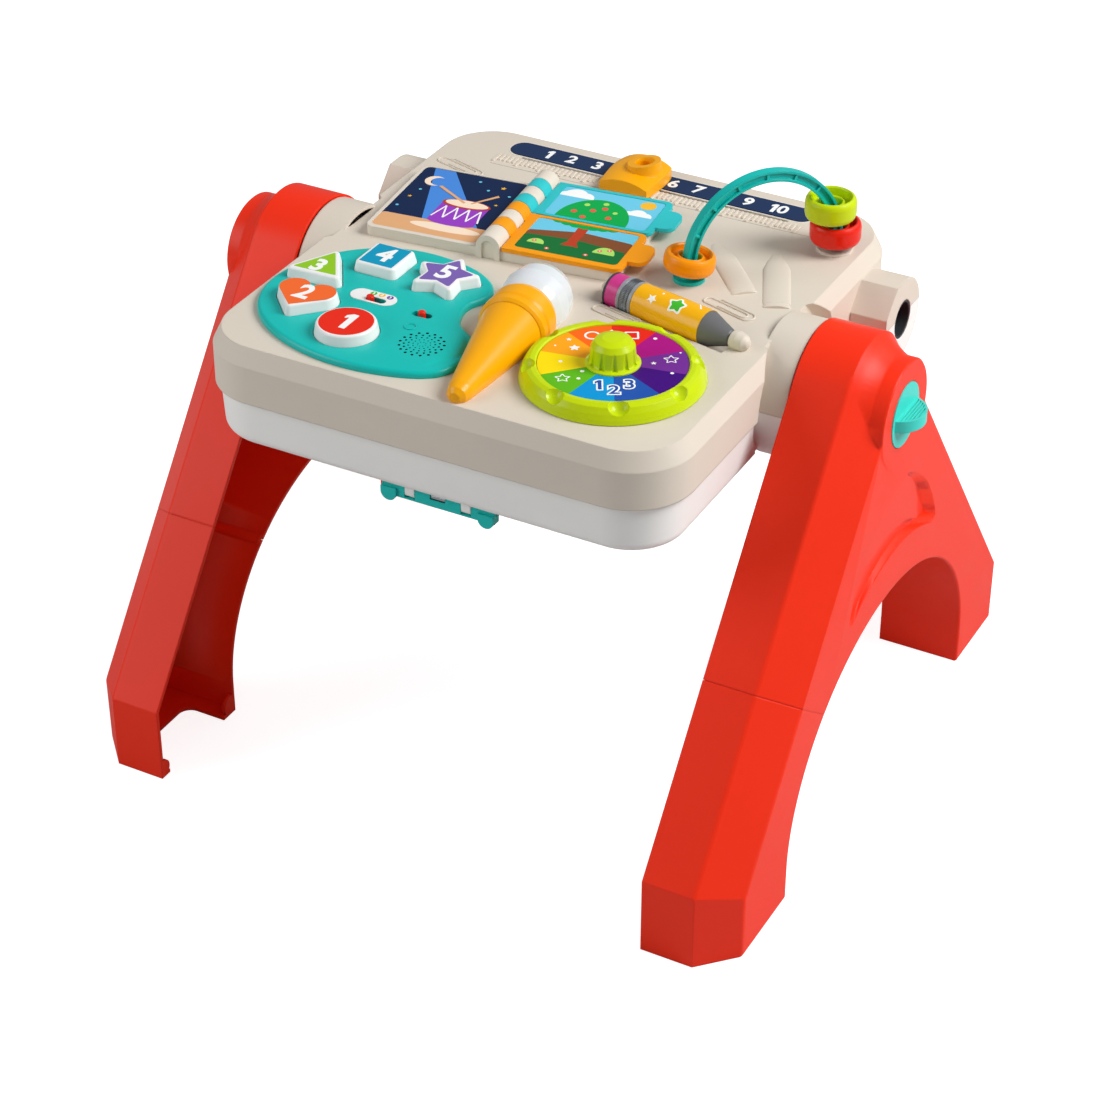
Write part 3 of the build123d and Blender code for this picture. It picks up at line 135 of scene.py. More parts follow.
bpy.context.scene.view_settings.view_transform = "Standard"
put_camera()
set_world()
lay_floor()
area_light("key", place=(2.1, 0.6, 2.3), target=(0, 0, 0.3), size=1.7, power=84)
area_light("fill", place=(-1.9, -1.6, 1.5), target=(0, 0, 0.25), size=1.8, power=28)
area_light("back", place=(1.3, 2.2, 1.9), target=(0, 0, 0.35), size=1.4, power=6)

# ---------------------------------------------------------------- finishes
TONE_PATCHES = 9              # noise scale of the slow drift in tone and gloss
GLOSS_DOWN, GLOSS_UP = 0.05, 0.06
GRAIN_HEIGHT = 0.4 * MM


def linear(red, green, blue):
    """The shader's colour for a colour given in 0 to 255."""
    out = []
    for value in (red, green, blue):
        value = value / 255
        out.append(value / 12.92 if value <= 0.04045 else ((value + 0.055) / 1.055) ** 2.4)
    return (*out, 1)


def shader_of(material):
    return material.node_tree.nodes["Principled BSDF"]


def moulded(name, colour, rough=0.35, grain=0.06, grain_size=900, tone=0.04, edge=0.9, shine=0.35):
    """Moulded plastic: slow tone drift, fine mould grain, uneven gloss and edges softened over edge mm."""
    material = bpy.data.materials.new(name)
    material.use_nodes = True
    nodes, links = material.node_tree.nodes, material.node_tree.links
    shader = shader_of(material)
    place = nodes.new("ShaderNodeTexCoord")
    drift = nodes.new("ShaderNodeTexNoise")
    drift.inputs["Scale"].default_value = TONE_PATCHES
    drift.inputs["Detail"].default_value = 3
    links.new(place.outputs["Object"], drift.inputs["Vector"])
    ramp = nodes.new("ShaderNodeMix")
    ramp.data_type = "RGBA"
    base = linear(*colour)
    ramp.inputs["A"].default_value = tuple(c * (1 - tone) for c in base[:3]) + (1,)
    ramp.inputs["B"].default_value = tuple(min(1, c * (1 + tone)) for c in base[:3]) + (1,)
    links.new(drift.outputs["Fac"], ramp.inputs["Factor"])
    links.new(ramp.outputs["Result"], shader.inputs["Base Color"])
    grains = nodes.new("ShaderNodeTexNoise")
    grains.inputs["Scale"].default_value = grain_size
    grains.inputs["Detail"].default_value = 2
    links.new(place.outputs["Object"], grains.inputs["Vector"])
    gloss = nodes.new("ShaderNodeMapRange")
    gloss.inputs["To Min"].default_value = rough - GLOSS_DOWN
    gloss.inputs["To Max"].default_value = rough + GLOSS_UP
    links.new(drift.outputs["Fac"], gloss.inputs["Value"])
    links.new(gloss.outputs["Result"], shader.inputs["Roughness"])
    bump = nodes.new("ShaderNodeBump")
    bump.inputs["Strength"].default_value = grain
    bump.inputs["Distance"].default_value = GRAIN_HEIGHT
    if edge > 0:
        soft_edge = nodes.new("ShaderNodeBevel")
        soft_edge.samples = 4
        soft_edge.inputs["Radius"].default_value = edge * MM
        links.new(soft_edge.outputs["Normal"], bump.inputs["Normal"])
    links.new(grains.outputs["Fac"], bump.inputs["Height"])
    links.new(bump.outputs["Normal"], shader.inputs["Normal"])
    shader.inputs["Specular IOR Level"].default_value = shine
    return material


def metal(name, colour, rough=0.3, metallic=1.0, edge=0.9, grain=0.1, grain_size=1500):
    """A moulded finish made metallic, for plated steel and metallic paint."""
    material = moulded(name, colour, rough, grain, grain_size, tone=0.05, edge=edge)
    shader_of(material).inputs["Metallic"].default_value = metallic
    return material


BEIGE = (220, 209, 194)
FINISH = {
    "leg_red": moulded("red_moulding", (249, 49, 18), 0.38, 0.05, 700, edge=1.6, shine=0.22),
    "shell_beige": moulded("beige_moulding", BEIGE, 0.5, 0.12, 1100, edge=1.6),
    "shell_white": moulded("white_moulding", (245, 244, 240), 0.42, 0.1, 1100, edge=1.6),
    "teal": moulded("teal_moulding", (8, 190, 182), 0.3, shine=0.3),
    "aqua": moulded("aqua_moulding", (62, 216, 202), 0.3),
    "lime": moulded("lime_moulding", (200, 222, 0), 0.28, shine=0.3),
    "orange": moulded("orange_moulding", (251, 152, 0), 0.28, shine=0.3),
    "red": moulded("bright_red_moulding", (232, 34, 8), 0.28, shine=0.3),
    "button_white": moulded("white_cap", (243, 243, 241), 0.3),
    "print_disc": moulded("disc_backing", (110, 35, 145), 0.4),
    "bulb": moulded("milky_dome", (226, 227, 230), 0.2, 0.03, shine=0.5),
    "led": moulded("lamp_board", (245, 245, 238), 0.3),
    "navy": moulded("navy_print", (28, 50, 88), 0.45, 0.05, shine=0.2),
    "pencil_pink": moulded("pink_plastic", (214, 58, 142), 0.28),
    "pencil_silver": moulded("silver_paint", (152, 156, 162), 0.3, 0.1, edge=0.3),
    "pencil_amber": moulded("amber_plastic", (253, 184, 6), 0.25, shine=0.3),
    "pencil_grey": moulded("grey_plastic", (106, 106, 108), 0.4),
    "book_cream": moulded("cream_moulding", (226, 216, 201), 0.48, 0.12, 1100),
    "page_orange": moulded("orange_leaf", (250, 158, 4), 0.4, shine=0.25),
    "page_teal": moulded("teal_leaf", (46, 196, 200), 0.4, shine=0.25),
    "dark_grey": moulded("dark_moulding", (46, 48, 52), 0.5, 0.12),
    "steel": metal("plated_steel", (176, 178, 182)),
    "cell": moulded("cell_wrap", (70, 72, 80), 0.3),
    "pad_rubber": moulded("pad_rubber", (190, 190, 186), 0.7, 0.2),
    "board_green": moulded("board_green", (34, 96, 62), 0.35),
    "speaker_black": moulded("speaker_black", (34, 34, 36), 0.6),
}
AMBER = moulded("amber_moulding", (250, 172, 2), 0.28, shine=0.3)
FINE_BEIGE = moulded("beige_fine_detail", BEIGE, 0.5, 0.12, 1100, edge=0)
RIBBED = metal("ribbed_grey", (104, 108, 112), metallic=0.5, edge=0, grain=0.05, grain_size=900)


def make_milky(material):
    """Light spreads a little inside the dome, and a faint painted glow brightens it."""
    shader = shader_of(material)
    shader.inputs["Subsurface Weight"].default_value = 0.12
    shader.inputs["Subsurface Scale"].default_value = 20 * MM
    # painted glow: the dome is no lamp, this only brightens it
    shader.inputs["Emission Color"].default_value = WHITE_LIGHT
    shader.inputs["Emission Strength"].default_value = 0.03


make_milky(FINISH["bulb"])
for entry in frame["record"]["subparts"]:
    for slot in NODES[entry["node"]].material_slots:
        slot.material = FINISH[entry["material_slot"]]
for node in ("mic_handle", "ruler_slider"):
    for slot in NODES[node].material_slots:
        slot.material = AMBER


def ink(name, *colour):
    """A printed colour: slightly glossy, with the faint mottle of a decal."""
    return moulded(name, colour, 0.42, 0.02, 500, 0.03, edge=0, shine=0.15)


INK = {
    "white": ink("white_ink", 250, 250, 248),
    "red": ink("red_ink", 236, 42, 20),
    "orange": ink("orange_ink", 246, 108, 46),
    "green": ink("green_ink", 146, 200, 36),
    "blue": ink("blue_ink", 4, 152, 190),
    "purple": ink("purple_ink", 124, 98, 176),
    "leaf": ink("leaf_ink", 70, 190, 50),
    "amber": ink("amber_ink", 250, 190, 50),
    "deep_purple": ink("deep_purple_ink", 96, 44, 150),
    "coral": ink("coral_ink", 236, 92, 74),
    "night": ink("night_ink", 12, 36, 76),
    "beam": ink("beam_ink", 72, 138, 222),
    "sand": ink("sand_ink", 228, 172, 122),
    "cream": ink("cream_ink", 252, 228, 202),
    "violet": ink("violet_ink", 152, 62, 196),
    "rust": ink("rust_ink", 188, 64, 34),
    "sky": ink("sky_ink", 110, 204, 232),
    "crown": ink("crown_ink", 0, 170, 76),
    "grass": ink("grass_ink", 20, 112, 52),
    "soil": ink("soil_ink", 134, 78, 44),
    "lime": ink("lime_ink", 178, 226, 108),
    "pale": ink("pale_ink", 238, 230, 218),
    # a darker beige painted as the shadow line along the front of the ruler
    "painted_seam_shadow": ink("seam_shadow", 170, 158, 142),
    # near-black teal painted as the shade inside the speaker holes
    "dark": ink("hole_dark", 8, 44, 44),
    "graphite": ink("graphite", 72, 74, 80),
    "disc_blue": ink("disc_blue_ink", 28, 78, 166),
}

# ---------------------------------------------------------------- tools that several pieces share
FONT_FOR_HEIGHT = 1.38        # font size that makes a figure one unit high
LONGEST_ROUND = 0.48          # the most of a side that the rounding of one corner takes
SMOOTH_BELOW = radians(30)    # faces that meet at less than this are shaded as one surface


def corners_of(node):
    """The lowest and the highest corner of a CAD node at rest, in mm."""
    return [[round(value / MM, 3) for value in corner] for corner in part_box(node)]


def top_of(node):
    return corners_of(node)[1][2]


def middle_of(node):
    low, high = corners_of(node)
    return [(a + b) / 2 for a, b in zip(low, high)]


def only(thing):
    """Selects one piece and nothing else."""
    bpy.ops.object.select_all(action="DESELECT")
    thing.select_set(True)
    bpy.context.view_layer.objects.active = thing


def edit(thing):
    """Opens a piece in edit mode with everything in it selected."""
    only(thing)
    bpy.ops.object.mode_set(mode="EDIT")
    bpy.ops.mesh.select_all(action="SELECT")


def own_copy(node, name):
    """A merged copy of a CAD node's mesh, ready to be finished as the visible piece."""
    piece = bpy.data.objects.new(name, NODES[node].data.copy())
    bpy.context.collection.objects.link(piece)
    edit(piece)
    bpy.ops.mesh.remove_doubles(threshold=0.01 * MM)
    bpy.ops.object.mode_set(mode="OBJECT")
    return piece


def stands_for(piece, node, body):
    """Shows a finished copy in place of its CAD node."""
    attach(piece, body)
    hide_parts(node)


def paint(thing, *materials):
    thing.data.materials.clear()
    for material in materials:
        thing.data.materials.append(material)


def settle(thing, body, material):
    """Bakes the piece's place into its mesh and ties it to its body."""
    only(thing)
    bpy.ops.object.transform_apply(location=True, rotation=True, scale=True)
    paint(thing, material)
    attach(thing, body)
    return thing


def at(x, y, z, turn=0.0):
    """A place in mm, turned by so many degrees about Z."""
    return Matrix.Translation((x * MM, y * MM, z * MM)) @ Matrix.Rotation(radians(turn), 4, "Z")


def add_line(curve, points, closed):
    """One line of straight runs through points in mm."""
    spline = curve.splines.new("POLY")
    spline.points.add(len(points) - 1)
    for point, (x, y) in zip(spline.points, points):
        point.co = (x * MM, y * MM, 0, 1)
    spline.use_cyclic_u = closed


def meshed(name, curve, place):
    """The mesh of a curve or a text, put in its place."""
    shape = bpy.data.objects.new(name, curve)
    bpy.context.collection.objects.link(shape)
    shape.matrix_world = place
    only(shape)
    bpy.ops.object.convert(target="MESH")
    return bpy.context.object


def printed(name, outlines, place, body, material, depth=0.2):
    """A thin raised print from flat outlines in mm; an outline inside another one is a hole."""
    curve = bpy.data.curves.new(name, "CURVE")
    curve.dimensions = "2D"
    curve.fill_mode = "BOTH"
    curve.extrude = depth * MM / 2
    for outline in outlines:
        add_line(curve, outline, closed=True)
    return settle(meshed(name, curve, place), body, material)


def rounded_corners(corners, radius, steps=5):
    """The same outline with each corner rounded off by a curve of about the given radius."""
    out = []
    for k, (x, y) in enumerate(corners):
        corner = Vector((x, y))
        before = Vector(corners[k - 1]) - corner
        after = Vector(corners[(k + 1) % len(corners)]) - corner
        half = before.angle(after) / 2
        reach = min(radius / tan(half), before.length * LONGEST_ROUND, after.length * LONGEST_ROUND)
        start = corner + before.normalized() * reach
        end = corner + after.normalized() * reach
        for step in range(steps + 1):
            t = step / steps
            point = start * (1 - t) ** 2 + 2 * t * (1 - t) * corner + end * t ** 2
            out.append((point.x, point.y))
    return out


def one_outline(height, weight):
    """A figure 1 with a flag, outgrown on all sides by weight."""
    top, stem, shift = height / 2 + weight, height * 0.085 + weight, height * 0.07
    flag, flag_thick = height * 0.17, 1.8 * stem
    corners = [(shift - stem, -top), (shift + stem, -top), (shift + stem, top), (shift - stem * 0.7, top),
               (shift - stem - flag, top - flag), (shift - stem - flag, top - flag - flag_thick),
               (shift - stem, top - height * 0.04 - flag_thick)]
    return rounded_corners(corners, height * 0.04, 3)


def lettered(name, text, place, size, body, material, weight=0.0, depth=0.2, squeeze=1.0):
    """A thin raised number; size is its height in mm and weight thickens its strokes."""
    if text == "1":
        return printed(name, [one_outline(size, weight)], place, body, material, depth)
    words = bpy.data.curves.new(name, "FONT")
    words.body = text
    words.align_x = "CENTER"
    words.align_y = "CENTER"
    words.size = size * MM * FONT_FOR_HEIGHT
    words.offset = weight * MM
    words.extrude = depth * MM / 2
    words.resolution_u = 4
    narrowed = place @ Matrix.Diagonal((squeeze, 1, 1, 1))
    return settle(meshed(name, words, narrowed), body, material)


def arc(x, y, radius, start, end, count, squash=1.0):
    """Points round (x, y) from one angle in degrees to another, in count steps."""
    turns = [radians(start + (end - start) * k / count) for k in range(count + 1)]
    return [(x + radius * cos(a), y + squash * radius * sin(a)) for a in turns]


def round_outline(radius, x=0.0, y=0.0, count=48, squash=1.0):
    return arc(x, y, radius, 0, 360, count, squash)[:-1]


def pill_outline(length, width, x=0.0, y=0.0, count=14):
    r = width / 2
    return (arc(x + length / 2 - r, y, r, -90, 90, count)
            + arc(x - length / 2 + r, y, r, 90, 270, count))


def star_points(outer, inner, x=0.0, y=0.0, turn=90.0, count=5):
    points = []
    for k in range(2 * count):
        r = outer if k % 2 == 0 else inner
        a = radians(turn + 180 * k / count)
        points.append((x + r * cos(a), y + r * sin(a)))
    return points


def heart_points(lobe_x, lobe_y, lobe_r, tip_y):
    """Two round lobes, which meet in the middle, over one tip."""
    meeting = 180 - degrees(acos(lobe_x / lobe_r))
    lobe = arc(lobe_x, lobe_y, lobe_r, -43, meeting, 20)
    return lobe + [(-x, y) for x, y in reversed(lobe)] + [(0, tip_y)]


# ---------------------------------------------------------------- button labels
CAP_TOP = top_of("button_1_circle")
NUMBER_LIFT = 0.12
TRIANGLE = rounded_corners([(-18.6, -12.2), (18.6, -10.3), (-1, 21.2)], 1.2)
SQUARE = rounded_corners([(-14.5, -15.5), (14.5, -15.5), (14.5, 15.5), (-14.5, 15.5)], 1.0)
LABEL_STAR = rounded_corners(star_points(22.6, 13.2), 1.8)
LABELS = [    # button, outline, place, colour, the number's shift and its height
    ("button_1_circle", round_outline(20.8), (-91.5, -171.5), "red", (0.5, 0.5), 20.5),
    ("button_2_heart", heart_points(11.5, 6.5, 11.9, -20.5), (-143.5, -149.0), "orange", (0.5, 0.5), 20.5),
    ("button_3_triangle", TRIANGLE, (-155.0, -104.0), "green", (-1.5, -3.0), 17.5),
    ("button_4_square", SQUARE, (-119.5, -69.0), "blue", (0, 0), 20.5),
    ("button_5_star", LABEL_STAR, (-65.0, -71.0), "purple", (0, 0), 20.5),
]
for node, outline, (x, y), colour, (right, forward), height in LABELS:
    number = node.split("_")[1]
    printed("label_" + node, [outline], at(x, y, CAP_TOP), node, INK[colour])
    lettered("number_" + number, number, at(x + right, y + forward, CAP_TOP + NUMBER_LIFT), height, node,
             INK["white"], weight=0.9, squeeze=0.92)

# ---------------------------------------------------------------- palette: speaker holes, ring, mode dots
PLATE_TOP = top_of("palette_plate")
SPEAKER_X, SPEAKER_Y = middle_of("speaker")[:2]
GRILLE = [(3.2, 8, 0.42), (6.6, 12, 0.55), (10.0, 15, 0.72), (13.4, 17, 0.92), (16.8, 17, 1.15)]
PUNCH_LENGTH = 14.0           # enough to pass right through the plate
RING_PLACE, RING_RADIUS, RING_THICK = (-53.3, -143.4, PLATE_TOP + 0.15), 4.4, 0.55
MODE_DOTS = [(-103.6, -112.6, "leaf"), (-96.4, -112.4, "amber"), (-89.0, -112.8, "deep_purple")]
DOT_RADIUS, DOT_HEIGHT, DOT_NUMBER = 2.6, PLATE_TOP + 0.45, 3.2


def speaker_punch():
    """Round punches for the grille: each ring has its reach, its count and its hole's radius."""
    punches = []
    for ring, (reach, count, hole) in enumerate(GRILLE):
        stagger = 0.5 * (ring % 2)
        for k in range(count):
            a = 2 * pi * (k + stagger) / count
            place = ((SPEAKER_X + reach * cos(a)) * MM, (SPEAKER_Y + reach * sin(a)) * MM, PLATE_TOP * MM)
            bpy.ops.mesh.primitive_cylinder_add(vertices=12, radius=hole * MM, depth=PUNCH_LENGTH * MM,
                                                location=place)
            punches.append(bpy.context.object)
    bpy.ops.object.select_all(action="DESELECT")
    for punch in punches:
        punch.select_set(True)
    bpy.context.view_layer.objects.active = punches[0]
    bpy.ops.object.join()
    # this near-black teal goes onto the hole walls as painted shade
    paint(punches[0], INK["dark"])
    return punches[0]


def pierced_palette():
    """The palette plate with the speaker holes cut right through, their walls painted near-black as shade."""
    plate = own_copy("palette_plate", "palette_with_grille")
    punch = speaker_punch()
    only(plate)
    cut = plate.modifiers.new("holes", "BOOLEAN")
    cut.operation = "DIFFERENCE"
    cut.solver = "EXACT"
    cut.material_mode = "TRANSFER"
    cut.object = punch
    bpy.ops.object.modifier_apply(modifier=cut.name)
    bpy.data.objects.remove(punch)
    bpy.ops.object.shade_smooth_by_angle(angle=SMOOTH_BELOW)
    stands_for(plate, "palette_plate", "tabletop")


def palette_ring():
    """A thin raised ring moulded on the plate beside the speaker."""
    bpy.ops.object.select_all(action="DESELECT")
    bpy.ops.mesh.primitive_torus_add(major_segments=48, minor_segments=10, major_radius=RING_RADIUS * MM,
                                     minor_radius=RING_THICK * MM, location=Vector(RING_PLACE) * MM)
    ring = bpy.context.object
    ring.name = "palette_ring"
    bpy.ops.object.shade_smooth()
    settle(ring, "tabletop", FINISH["teal"])


def mode_dots():
    """Three numbered dots beside the mode switch."""
    for number, (x, y, colour) in enumerate(MODE_DOTS, start=1):
        printed(f"mode_dot_{number}", [round_outline(DOT_RADIUS, count=28)], at(x, y, DOT_HEIGHT), "tabletop",
                INK[colour], 0.15)
        lettered(f"mode_number_{number}", str(number), at(x, y, DOT_HEIGHT + 0.1), DOT_NUMBER, "tabletop",
                 INK["white"], weight=0.12, depth=0.1)


pierced_palette()
palette_ring()
mode_dots()

# ---------------------------------------------------------------- legs
SEAM_POINT = Vector((0, -151.0, 161.5)) * MM      # on the joint of the front legs
UP_LEG = Vector((0, 0.609, 0.793))                # along a front leg
ACROSS_LEG = Vector((0, 0.793, -0.609))           # from a front leg's front towards the arch
HUB_AXIS = Vector((0, 0, middle_of("right_hub_spindle")[2])) * MM
HUB_CLEAR = 50.0 * MM
LEG_OUT = corners_of("right_front_leg")[1][0] * MM
CHAMFER_DEPTH, CHAMFER_RUN, CHAMFER_START = 28.0 * MM, 29.0 * MM, -44.65 * MM
LEG_EDGE = LEG_OUT - CHAMFER_DEPTH                # X where the chamfer meets the leg's front
PROUD_LEAST, PROUD_MOST = 0.03 * MM, 1.0 * MM
REAR_SIDE = 240.0 * MM                            # Y behind which the outline is rounded too
CLOSE = 0.3 * MM
LEAST_EDGE, FLAT_ENOUGH = radians(18), radians(1)
EDGE_ROUNDING = 2.0 * MM
LIP_TOP, LIP_FOOT, LIP_RISE, LIP_SHRINK = -1.5 * MM, -9.5 * MM, 5.5 * MM, 0.985


def along(point):
    """How far a point lies above the front legs' joint."""
    return (point - SEAM_POINT).dot(UP_LEG)


def across(point):
    """How far a point lies behind the middle of the front legs' joint."""
    return (point - SEAM_POINT).dot(ACROSS_LEG)


def flatten_chamfer(mesh):
    """Presses what stands proud of the leg's chamfer back into its plane."""
    slope = Vector((CHAMFER_RUN, -CHAMFER_DEPTH, 0)).normalized()
    for corner in mesh.verts:
        side = 1 if corner.co.x > 0 else -1
        proud = (abs(corner.co.x) - LEG_EDGE) * slope.x + (across(corner.co) - CHAMFER_START) * slope.y
        if PROUD_LEAST < proud < PROUD_MOST:
            corner.co -= (Vector((side * slope.x, 0, 0)) + ACROSS_LEG * slope.y) * proud


def is_outer_edge(edge):
    """Outward edges along the chamfer, the outline and the arch, apart from the joint, hub and panel."""
    if len(edge.link_faces) != 2 or not edge.is_convex or edge.calc_face_angle(0) < LEAST_EDGE:
        return False
    ends = [corner.co for corner in edge.verts]
    if all(abs(along(end)) < 2 * CLOSE for end in ends):
        return False
    if all(abs(abs(end.x) - LEG_EDGE) < CLOSE for end in ends):
        return all(across(end) < CHAMFER_START + 1 * MM or end.y > REAR_SIDE for end in ends)
    if any(abs(abs(end.x) - LEG_OUT) > CLOSE for end in ends):
        return False
    inmost = min(abs(corner.co.x) for face in edge.link_faces for corner in face.verts)
    clear_of_hub = all((end - HUB_AXIS).yz.length > HUB_CLEAR for end in ends)
    return clear_of_hub and inmost < LEG_EDGE + 3 * MM


def softened_leg(node):
    """The moulding with its outer edges rounded."""
    leg = own_copy(node, node + "_rounded")
    edit(leg)
    if node.endswith("front_leg"):
        flatten_chamfer(bmesh.from_edit_mesh(leg.data))
        bmesh.update_edit_mesh(leg.data)
    bpy.ops.mesh.dissolve_limited(angle_limit=FLAT_ENOUGH)
    bpy.ops.mesh.select_all(action="DESELECT")
    bpy.ops.mesh.select_mode(type="EDGE")
    mesh = bmesh.from_edit_mesh(leg.data)
    for edge in mesh.edges:
        edge.select_set(is_outer_edge(edge))
    bmesh.update_edit_mesh(leg.data)
    bpy.ops.mesh.bevel(offset=EDGE_ROUNDING, segments=3, clamp_overlap=False, loop_slide=False)
    bpy.ops.object.mode_set(mode="OBJECT")
    bpy.ops.object.shade_smooth_by_angle(angle=SMOOTH_BELOW)
    even = leg.modifiers.new("even_shading", "WEIGHTED_NORMAL")
    even.keep_sharp = True
    bpy.ops.object.modifier_apply(modifier=even.name)
    stands_for(leg, node, "side_frames")


def joint_lip(side):
    """The sleeve behind a front leg's joint: a slice of the leg, drawn in and slid up over the gap."""
    lip = own_copy(side + "_front_leg", side + "_joint_lip")
    edit(lip)
    for reach, above_it in ((LIP_TOP, True), (LIP_FOOT, False)):
        bpy.ops.mesh.select_all(action="SELECT")
        bpy.ops.mesh.bisect(plane_co=SEAM_POINT + UP_LEG * reach, plane_no=UP_LEG, use_fill=True,
                            clear_outer=above_it, clear_inner=not above_it)
    bpy.ops.object.mode_set(mode="OBJECT")
    middle = sum((corner.co for corner in lip.data.vertices), Vector()) / len(lip.data.vertices)
    edit(lip)
    bpy.ops.transform.resize(value=(LIP_SHRINK, LIP_SHRINK, LIP_SHRINK), center_override=middle)
    bpy.ops.transform.translate(value=UP_LEG * LIP_RISE)
    bpy.ops.object.mode_set(mode="OBJECT")
    settle(lip, "side_frames", FINISH["leg_red"])


for side in ("right", "left"):
    joint_lip(side)
    softened_leg(side + "_front_leg")
    softened_leg(side + "_leg_frame")

# ---------------------------------------------------------------- spinner picture ring
WHEEL_X, WHEEL_Y = middle_of("spinner_wheel")[:2]
DISC_TOP = top_of("spinner_disc")
DISC_TURN = 28.4              # the ring rests turned by this many degrees
KNOB_FOOT, DISC_RIM = 13.8, 55.2
SECTORS_LIFT, SECTORS_THICK = 0.05, 0.3
PRINT_DEPTH, PRINT_LIFT, FILL_LIFT = 0.12, 0.22, 0.08
DISC_COLOURS = [(232, 36, 18), (172, 8, 128), (116, 44, 150), (64, 0, 122), (30, 82, 172),
                (0, 150, 216), (96, 186, 24), (255, 222, 0), (255, 166, 20), (250, 104, 20)]
SECTOR = 360 / len(DISC_COLOURS)
# angles are clockwise from straight ahead of the reader, reaches and sizes in mm
STAR_OUTLINES = [("right", 84, 42.6), ("left", 239, 42.9)]
SMALL_STARS = [(92, 29.4), (317, 46.6)]
DOTS = [(42, 47.3, 1.5), (74, 51.4, 0.9), (110, 45, 1.4), (241, 25.7, 1.6), (228, 34, 1.5), (301, 48.8, 0.9),
        (273, 38, 1.5)]
DISC_NUMBERS = [("1", 199, 33.8), ("2", 180, 39.4), ("3", 160.5, 33.4)]
FIGURE_HEIGHT, SHAPE_REACH = 12.5, 42.5
DISC_SHAPES = [    # in outline, at the far side
    ("ring", -20, [round_outline(6.0), round_outline(4.4)]),
    ("triangle", 0, [rounded_corners([(-6.6, -4.6), (6.6, -4.6), (0, 6.6)], 1.0),
                     rounded_corners([(-4.0, -3.1), (4.0, -3.1), (0, 3.7)], 0.5)]),
    ("square", 20, [rounded_corners([(-5.4, -5.4), (5.4, -5.4), (5.4, 5.4), (-5.4, 5.4)], 1.0),
                    rounded_corners([(-3.9, -3.9), (3.9, -3.9), (3.9, 3.9), (-3.9, 3.9)], 0.5)]),
]


def spinner_sectors():
    """Ten coloured sectors between the knob and the rim of the wheel."""
    centre = Vector((WHEEL_X, WHEEL_Y, DISC_TOP + SECTORS_LIFT)) * MM
    spread = DISC_RIM / KNOB_FOOT
    bpy.ops.object.select_all(action="DESELECT")
    bpy.ops.mesh.primitive_circle_add(vertices=120, radius=KNOB_FOOT * MM, location=centre,
                                      rotation=(0, 0, radians(DISC_TURN)))
    ring = bpy.context.object
    ring.name = "spinner_sectors"
    edit(ring)
    bpy.ops.mesh.extrude_region_move()
    bpy.ops.transform.resize(value=(spread, spread, 1), center_override=centre)
    bpy.ops.mesh.select_all(action="SELECT")
    bpy.ops.mesh.normals_make_consistent(inside=False)
    bpy.ops.object.mode_set(mode="OBJECT")
    thick = ring.modifiers.new("thick", "SOLIDIFY")
    thick.thickness = SECTORS_THICK * MM
    thick.offset = 0
    bpy.ops.object.modifier_apply(modifier=thick.name)
    settle(ring, "spinner", INK["white"])
    paint(ring, *[ink(f"disc_colour_{k}", *colour) for k, colour in enumerate(DISC_COLOURS, start=1)])
    for face in ring.data.polygons:
        away = face.center - centre
        turn = (90 + DISC_TURN - degrees(atan2(away.y, away.x))) % 360
        face.material_index = int(turn / SECTOR) % len(DISC_COLOURS)


def on_disc(angle, reach, lift=0.0):
    """A place on the ring, by its angle from straight ahead of the reader and its reach."""
    a = radians(90 + DISC_TURN - angle)
    return at(WHEEL_X + reach * cos(a), WHEEL_Y + reach * sin(a), DISC_TOP + PRINT_LIFT + lift, DISC_TURN)


def disc_print(name, angle, reach, outlines):
    printed("disc_" + name, outlines, on_disc(angle, reach), "spinner", INK["white"],
            PRINT_DEPTH)


def disc_number(part, number, angle, reach, lift, colour, weight):
    lettered(f"disc_{part}_{number}", number, on_disc(angle, reach, lift), FIGURE_HEIGHT, "spinner",
             INK[colour], weight=weight, depth=PRINT_DEPTH)


spinner_sectors()
for name, angle, reach in STAR_OUTLINES:
    disc_print("star_" + name, angle, reach, [rounded_corners(star_points(6.6, 3.3), 0.7, 3),
                                              rounded_corners(star_points(5.0, 2.3), 0.4, 3)])
disc_print("star_full", 308, 35.2, [rounded_corners(star_points(4.6, 2.3), 0.5, 3)])
for k, (angle, reach) in enumerate(SMALL_STARS, start=1):
    disc_print(f"small_star_{k}", angle, reach, [star_points(2.3, 1.1)])
for k, (angle, reach, radius) in enumerate(DOTS, start=1):
    disc_print(f"dot_{k}", angle, reach, [round_outline(radius, count=20)])
for number, angle, reach in DISC_NUMBERS:
    disc_number("rim", number, angle, reach, 0.0, "white", 1.5)
    disc_number("fill", number, angle, reach, FILL_LIFT, "disc_blue", 0.25)
for name, angle, outlines in DISC_SHAPES:
    disc_print(name, angle, SHAPE_REACH, outlines)

# ---------------------------------------------------------------- pencil roller
PENCIL_PLACE = at(108.0, -32.0, 392.0, -12.6)
PENCIL_R, WRAP_LIFT, WRAP_DEPTH = 14.5, 0.06, 0.16
BADGE_X, BADGE_LIFT = 10, 0.1
FERRULE_RIBS, FERRULE_X, FERRULE_LENGTH = 72, -35.6, 6.4
RIB_FOOT, RIB_TOP, RIB_SHARE = 14.2, 14.9, 0.42
FERRULE_RINGS, RING_LENGTH, BAND_INSIDE = (-41.2, -30.0), 2.6, 12.6
ERASER_END, ERASER_RIM_LENGTH, ERASER_RIM_INSIDE = -55.0, 1.5, 11.0
BADGE = rounded_corners(star_points(9.4, 5.6, turn=20), 2.4, 4)
BADGE_FILL = rounded_corners(star_points(7.0, 3.9, turn=20), 1.4, 4)


